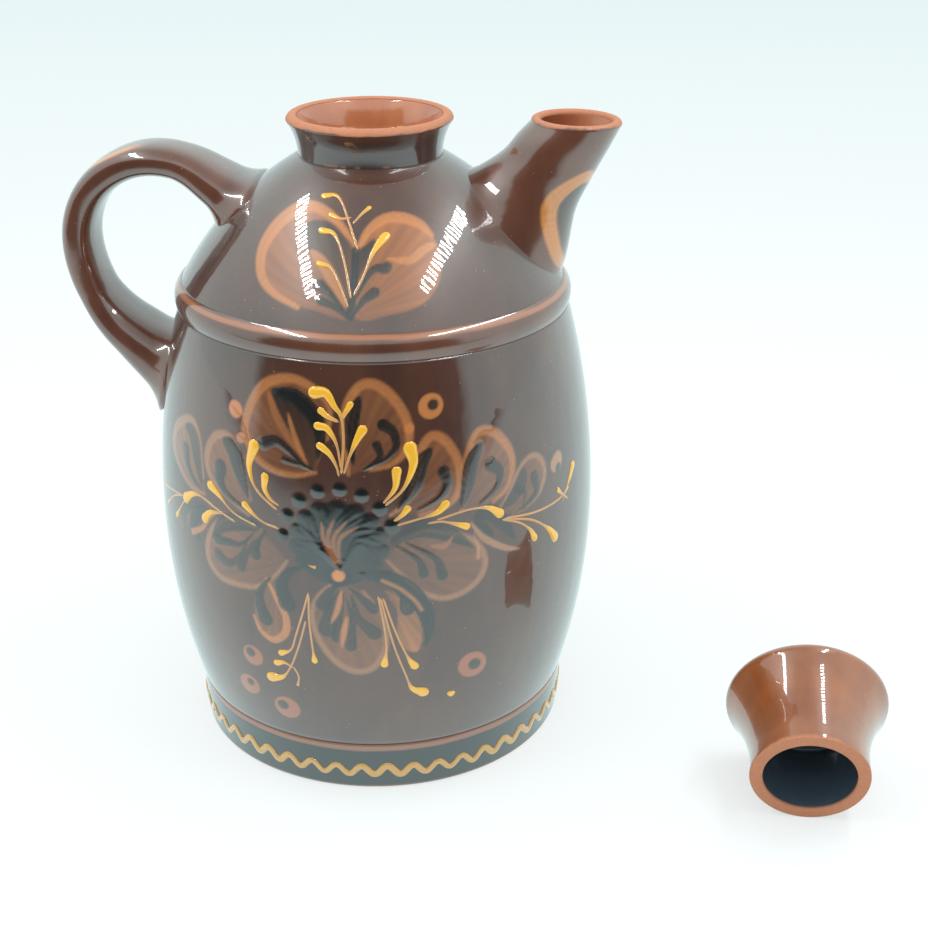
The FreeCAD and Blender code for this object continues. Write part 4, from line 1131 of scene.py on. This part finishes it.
# %% [markdown]
# ## Handle
# The handle is a pulled strap of clay. Its middle line is two round bends that meet at the outermost
# place, and a straight run into the wall at each end. The ends were pressed on while soft, so the strap
# widens as it nears the wall. Joining separate meshes with a Boolean leaves a hard crease there, so the
# strap and its two pads are one grid, and what lies too deep in the wall is drawn back to its skin.

# %% Joining to the jug's wall


def off_wall(radius, height):
    """How far points lie outside the jug's skin, and the skin's outward direction there."""
    from_centre = np.hypot(radius - DOME_CENTRE[0], height - DOME_CENTRE[1])
    on_dome = height > DOME_FOOT
    far = np.where(on_dome, from_centre - DOME_ARC, radius - barrel_radius(height))
    out_r = np.where(on_dome, (radius - DOME_CENTRE[0]) / from_centre, 1.0)
    out_z = np.where(on_dome, (height - DOME_CENTRE[1]) / from_centre, 0.0)
    return far, out_r, out_z


def settle(grid, depth):
    """Brings points that are deeper than depth under the skin up to that depth."""
    radius = np.maximum(np.hypot(grid[..., 0], grid[..., 1]), 1e-6)
    far, out_r, out_z = off_wall(radius, grid[..., 2])
    short = np.clip(-depth - far, 0, None)
    spread = (radius + short * out_r) / radius
    return np.stack([grid[..., 0] * spread, grid[..., 1] * spread, grid[..., 2] + short * out_z], -1)


def dome_height(radius):
    return DOME_CENTRE[1] + math.sqrt(DOME_ARC ** 2 - (radius - DOME_CENTRE[0]) ** 2)


print(f"the dome's skin is {dome_height(DOME_RADIUS / 2):.1f} mm up, half way in")

# %% Handle
STRAP_THICKNESS = 14.0
STRAP_WIDTH = 2 * high("handle", 1)
STRAP_SQUARENESS = 2.7
BOW_RADIUS = -low("handle", 0) - STRAP_THICKNESS / 2
BOW_HEIGHT = SHOULDER_TOP + 22.5
TOP_BEND = 36.5
LOW_BEND = 54.0
# The strap's line ends this far inside the wall's skin. A pad is its length, width and thickness.
TOP_END = (45.0, dome_height(45.0) - 20.0)
TOP_PAD = (45.0, 50.0, 24.0)
FOOT_HEIGHT = SHOULDER_TOP - 44.0
FOOT_END = (float(barrel_radius(FOOT_HEIGHT)) - 14.0, FOOT_HEIGHT)
FOOT_PAD = (62.0, 48.0, 32.0)
LINE_STEP = 1.2
# The clay was smoothed onto the wall: within this reach it swells, and it sinks this deep at most.
JOIN_REACH = 9.0
JOIN_SWELL = 3.5
JOIN_DEPTH = 2.0


def bend(end, radius, side):
    """The round bend that the line from end runs into, from there to the outermost place."""
    centre = (BOW_RADIUS - radius, BOW_HEIGHT)
    dr, dz = end[0] - centre[0], end[1] - centre[1]
    angle = math.atan2(dz, dr) - side * math.acos(radius / math.hypot(dr, dz))
    angles = np.linspace(angle, 0, 48)
    return np.stack([centre[0] + radius * np.cos(angles), centre[1] + radius * np.sin(angles)], -1)


def even(points, spacing):
    """The same line with evenly spaced points."""
    lengths = np.concatenate([[0], np.cumsum(np.linalg.norm(np.diff(points, axis=0), axis=1))])
    places = np.linspace(0, lengths[-1], math.ceil(lengths[-1] / spacing) + 1)
    return np.stack([np.interp(places, lengths, column) for column in points.T], -1)


def make_handle():
    line = even(np.concatenate([[TOP_END], bend(TOP_END, TOP_BEND, 1), bend(FOOT_END, LOW_BEND, -1)[::-1],
                                [FOOT_END]]), LINE_STEP)
    way = np.gradient(line, axis=0)
    way /= np.linalg.norm(way, axis=1, keepdims=True)
    gone = np.arange(len(line)) * LINE_STEP
    wide, thick = STRAP_WIDTH / 2 + 0 * gone, STRAP_THICKNESS / 2 + 0 * gone
    for (length, width, thickness), along in ((TOP_PAD, gone), (FOOT_PAD, gone[::-1])):
        share = np.clip(1 - along / length, 0, 1) ** 1.2
        wide += (width - STRAP_WIDTH) / 2 * share
        thick += (thickness - STRAP_THICKNESS) / 2 * share
    kept = off_wall(line[:, 0], line[:, 1])[0] > -JOIN_REACH
    line, way, wide, thick = line[kept], way[kept], wide[kept, None], thick[kept, None]
    turns = np.arange(64) / 64 * 2 * math.pi
    rounded = 2 / STRAP_SQUARENESS
    across, outward = (np.sign(part) * np.abs(part) ** rounded for part in (np.sin(turns), np.cos(turns)))

    def section(swell):
        reach = line[:, :1] - way[:, 1:] * outward * (thick + swell)
        height = line[:, 1:] + way[:, :1] * outward * (thick + swell)
        return np.stack([-reach, across * (wide + swell), height], -1)

    grid = section(0)
    far = off_wall(np.hypot(grid[..., 0], grid[..., 1]), grid[..., 2])[0]
    grid = settle(section(JOIN_SWELL * np.clip(1 - far / JOIN_REACH, 0, 1) ** 2), JOIN_DEPTH)
    # The fingers that pulled the strap left slow waves along it.
    rows = np.arange(len(line))[:, None] * LINE_STEP
    wave = np.sin(0.11 * rows + 2 * turns) + 0.6 * np.sin(0.23 * rows - turns + 1)
    grid[..., 1] *= 1 + 0.012 * wave * np.clip(far / 10, 0, 1)
    ends = [np.repeat(grid[at].mean(0)[None, None], len(turns), 1) for at in (0, -1)]
    grid = np.concatenate([ends[0], grid, ends[1]])
    # The glaze ran thin along the front corner of the bow, and the slip under it shows as a streak.
    bow = np.degrees(np.arctan2(grid[..., 2] - BOW_HEIGHT, -grid[..., 0] - BOW_RADIUS + TOP_BEND))
    corner = np.abs(np.degrees(turns) - 336 + 9 * np.sin(0.12 * bow)) / 17
    streak = 0.8 * step(bow, 38, 56) * step(bow, 90, 74) * step(corner, 1.0, 0.3)
    slip = slip_coat(grid, linear("#D88A48"), streak)
    handle = grid_object("strap_handle", [grid], thin_glaze, slip=slip)
    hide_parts("handle", "handle_top_pad", "handle_foot_pad")


make_handle()

# %% [markdown]
# ## Spout
# The spout is thrown by itself, cut at a slant and luted over a hole in the dome. Its rings lean more
# the nearer they are to the dome. One row holds a ring: distance of its centre from the jug's axis,
# height, lean in degrees, radius, and how much narrower the ring is from front to back. The wall's
# inner side follows the same rings, one wall smaller.

# %% Spout
SPOUT_ROOT = 63.5
SPOUT_LEAN = 44.0
SPOUT_WALL = 4.1
ROOT_HEIGHT = dome_height(SPOUT_ROOT)
LIP_ROUND = 1.9
SPOUT_HOLE = 17.5
OUT_R = (SPOUT_ROOT - DOME_CENTRE[0]) / DOME_ARC
OUT_Z = (ROOT_HEIGHT - DOME_CENTRE[1]) / DOME_ARC
SPOUT_RINGS = [
    (SPOUT_ROOT - 9 * OUT_R, ROOT_HEIGHT - 9 * OUT_Z, SPOUT_LEAN, 33.0, 0.84),
    (SPOUT_ROOT, ROOT_HEIGHT, SPOUT_LEAN, 28.0, 0.86),
    (SPOUT_ROOT + 5.0, ROOT_HEIGHT + 12.5, 28.0, 21.6, 0.95),
    (SPOUT_ROOT + 12.2, ROOT_HEIGHT + 23.0, 15.0, 19.6, 1.0),
    (SPOUT_ROOT + 18.5, ROOT_HEIGHT + 33.0, 6.0, 19.6, 1.0),
    (SPOUT_ROOT + 23.4, ROOT_HEIGHT + 42.0 - LIP_ROUND, 1.5, 19.0, 1.0),
]
SPOUT_TURNS = np.arange(128) / 128 * 2 * math.pi


def ring_points(rings):
    """Grid of points on leaning rings. Turn 0 faces the front."""
    reach, height, lean, radius, squeeze = np.asarray(rings, float).T[:, :, None]
    lean = np.radians(lean)
    sideways = radius * np.sin(SPOUT_TURNS)
    return np.stack([reach + sideways * np.cos(lean), -radius * squeeze * np.cos(SPOUT_TURNS),
                     height - sideways * np.sin(lean)], -1)


def paint_spout(canvas):
    """A crescent petal with a dark heart, on the side that faces front and right."""
    canvas.wash([(26, 12), (18, 15), (13, 20), (12, 26), (15, 32), (21, 35), (28, 33), (29, 24)], SMOKE,
                load=0.95, streaks=0.2)
    canvas.stroke([(28, 8), (19, 11), (12, 17), (9.5, 24), (12, 31), (19, 36), (28, 35)], 3.9,
                  linear("#CF8436"), form="rim", load=0.95, soft=0.8, relief=0.1)


def make_spout():
    outer = smooth_line(SPOUT_RINGS, steps=24)
    mouth = outer[-1]
    round_lip = np.linspace(0, math.pi, 15)[1:-1]
    half = SPOUT_WALL / 2
    lip = np.stack([mouth[0] + 0 * round_lip, mouth[1] + LIP_ROUND * np.sin(round_lip),
                    mouth[2] + 0 * round_lip, mouth[3] - half + half * np.cos(round_lip),
                    1 + 0 * round_lip], -1)
    first_inside = np.argmax(outer[:, 1] > SPOUT_RINGS[2][1] - 0.1)
    inner = outer[first_inside:][::-1] - np.array([0, 0, 0, SPOUT_WALL, 0])
    bore = inner[-1, 3]
    deep = [(SPOUT_ROOT - depth * OUT_R, ROOT_HEIGHT - depth * OUT_Z, SPOUT_LEAN, radius, 1.0)
            for depth, radius in ((0, bore), (4, bore), (8, bore), (12, bore), (12, 25.0))]
    outside = ring_points(np.concatenate([outer, lip[:7]]))
    outside[:len(outer)] = settle(outside[:len(outer)], 1.5)
    lengths = np.concatenate([[0], np.cumsum(np.linalg.norm(np.diff(outer[:, :2], axis=0), axis=1))])
    spout_wall = Wall(lambda along: np.interp(along, lengths, outer[:, 3]), 0, lengths[-1], 20.0)
    canvas = Canvas(spout_wall, SPOUT_TURNS, lengths)
    paint_spout(canvas)
    slip = canvas.slip(outside, slice(len(outer)))
    # The bare edge follows the mouth's slight lean.
    edge = (mouth[1] + 1.0 + 0.026 * (mouth[0] - outside[..., 0].clip(mouth[0] - 20, None))
            + waver(SPOUT_TURNS, 0.9, 0.6))
    bare = step(outside[..., 2] - edge, -0.6, 0.3)
    spout = grid_object("spout_skin", [outside], thin_glaze, slip=slip, bare=bare)
    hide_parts("spout", "spout_skirt")
    inside = np.concatenate([ring_points(np.concatenate([lip[6:], inner])),
                             settle(ring_points(deep), WALL - 0.2)])
    lining = grid_object("spout_lining", [inside], inside_glaze,
                         bare=0.6 + 0.4 * step(inside[..., 2], mouth[1] - 1.5, mouth[1] + 0.5))


def pierce(piece, reach):
    """Takes away the faces round the spout's bore. The cut edge lies inside the spout's own clay."""
    lean = math.radians(SPOUT_LEAN)
    cut = bmesh.new()
    cut.from_mesh(piece.data)

    def from_axis(place):
        aside, up = place[0] / MM - SPOUT_ROOT, place[2] / MM - ROOT_HEIGHT
        return math.hypot(aside * math.cos(lean) - up * math.sin(lean), place[1] / MM)

    near = [v for v in cut.verts if v.co.x > 0 and from_axis(v.co) < reach]
    bmesh.ops.delete(cut, geom=near, context="VERTS")
    cut.to_mesh(piece.data)
    cut.free()


make_spout()
pierce(dome, SPOUT_HOLE)
print("hole in the dome:", len(dome.data.polygons), "faces left")

# %% [markdown]
# ## Stopper
# The stopper is a hollow plug that flares to a flat closed end. It lies on its side, on its open rim
# and the edge of its closed end, so its axis tilts. It has the amber glaze outside and a bare rim where
# it stood in the kiln. Inside it is coloured a flat blue-grey, which is painted shade and a painted
# reflection of the tent in the hollow. It is turned upright like the rings, which keeps its outline
# easy to read, and then laid down by a turn and a shift of all its points.

# %% Stopper
PLUG_RADIUS = NECK_RADIUS - NECK_WALL - 0.6
PLUG_WALL = 5.6
PLUG_STRAIGHT = 8.0
HEAD_RADIUS = PLUG_RADIUS + 10.0
HEAD_HEIGHT = 43.0
HEAD_EDGE = 4.0
RIM_ROUND = 1.0
PLUG_PLACE = (196.1, -93.6)
PLUG_HEADING = math.radians(2.4)


def stopper_outlines():
    """The outside from the rim to the middle of the closed end, and the inside back to the rim."""
    edge_r = HEAD_RADIUS - HEAD_EDGE
    dr, dz = PLUG_RADIUS - edge_r, HEAD_HEIGHT - PLUG_STRAIGHT
    hollow = (dr ** 2 + dz ** 2 - HEAD_EDGE ** 2) / (2 * (HEAD_EDGE - dr))
    centre_r = PLUG_RADIUS + hollow
    top = math.asin(dz / (hollow + HEAD_EDGE))
    roof = HEAD_HEIGHT + HEAD_EDGE - PLUG_WALL

    def curve(centre, radius, start, end, count):
        angles = np.linspace(start, end, count)
        return np.stack([centre[0] + radius * np.cos(angles), centre[1] + radius * np.sin(angles)], -1)

    outside = np.concatenate([
        curve((PLUG_RADIUS - RIM_ROUND, RIM_ROUND), RIM_ROUND, -math.pi / 2, 0, 7),
        [(PLUG_RADIUS, 2.5), (PLUG_RADIUS, 5)],
        curve((centre_r, PLUG_STRAIGHT), hollow, math.pi, math.pi - top, 40),
        curve((edge_r, HEAD_HEIGHT), HEAD_EDGE, -top, math.pi / 2, 14)[1:],
        [(edge_r * share, HEAD_HEIGHT + HEAD_EDGE) for share in (0.97, 0.8, 0.4, 0)]])
    inner_top = math.asin((roof - PLUG_STRAIGHT) / (hollow + PLUG_WALL))
    up = curve((centre_r, PLUG_STRAIGHT), hollow + PLUG_WALL, math.pi, math.pi - inner_top, 24)
    inside = np.concatenate([[(0, roof), (up[-1, 0] - 3, roof), (up[-1, 0] - 0.9, roof - 0.8)], up[::-1][2:],
                             [(PLUG_RADIUS - PLUG_WALL, 2.4), (PLUG_RADIUS - PLUG_WALL, 1.8),
                              (PLUG_RADIUS - PLUG_WALL, 0.8), (PLUG_RADIUS - PLUG_WALL + 0.25, 0.2),
                              (PLUG_RADIUS - PLUG_WALL + 0.8, 0)], outside[:1]])
    return outside, inside


def lay_down(grid):
    """Puts points from the stopper's own axis to where it lies. Turn 0 comes uppermost."""
    low_r = PLUG_RADIUS - RIM_ROUND
    dr, dz = HEAD_RADIUS - HEAD_EDGE - low_r, HEAD_HEIGHT - RIM_ROUND
    tilt = math.atan2(dr, dz) + math.asin((HEAD_EDGE - RIM_ROUND) / math.hypot(dr, dz))
    height = RIM_ROUND * (1 - math.sin(tilt)) + low_r * math.cos(tilt)
    side = np.array([math.cos(PLUG_HEADING), -math.sin(PLUG_HEADING), 0])
    axis = np.array([math.sin(PLUG_HEADING) * math.cos(tilt), math.cos(PLUG_HEADING) * math.cos(tilt),
                     math.sin(tilt)])
    up = np.cross(side, axis)
    return np.array([*PLUG_PLACE, height]) + grid @ np.stack([side, -up, axis])


def make_stopper():
    outside, inside = stopper_outlines()
    grid = turned(np.concatenate([outside, inside]), ALL_ROUND)
    along = grid[..., 2]
    inner = np.arange(len(grid))[:, None] >= len(outside)
    edge = 0.9 + waver(ALL_ROUND, 2.2, 0.5)
    bare = np.where(inner, step(along, 1.7, 1.0), step(along - edge, 0.5, -0.3))
    # The blue-grey slip on the inside rows is painted shade and a painted reflection of the tent in the
    # hollow.
    stopper = grid_object("stopper_plug", [lay_down(grid)], amber_glaze,
                          slip=slip_coat(grid, linear("#44525F"), inner), bare=bare, body="stopper")
    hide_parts("stopper")


make_stopper()
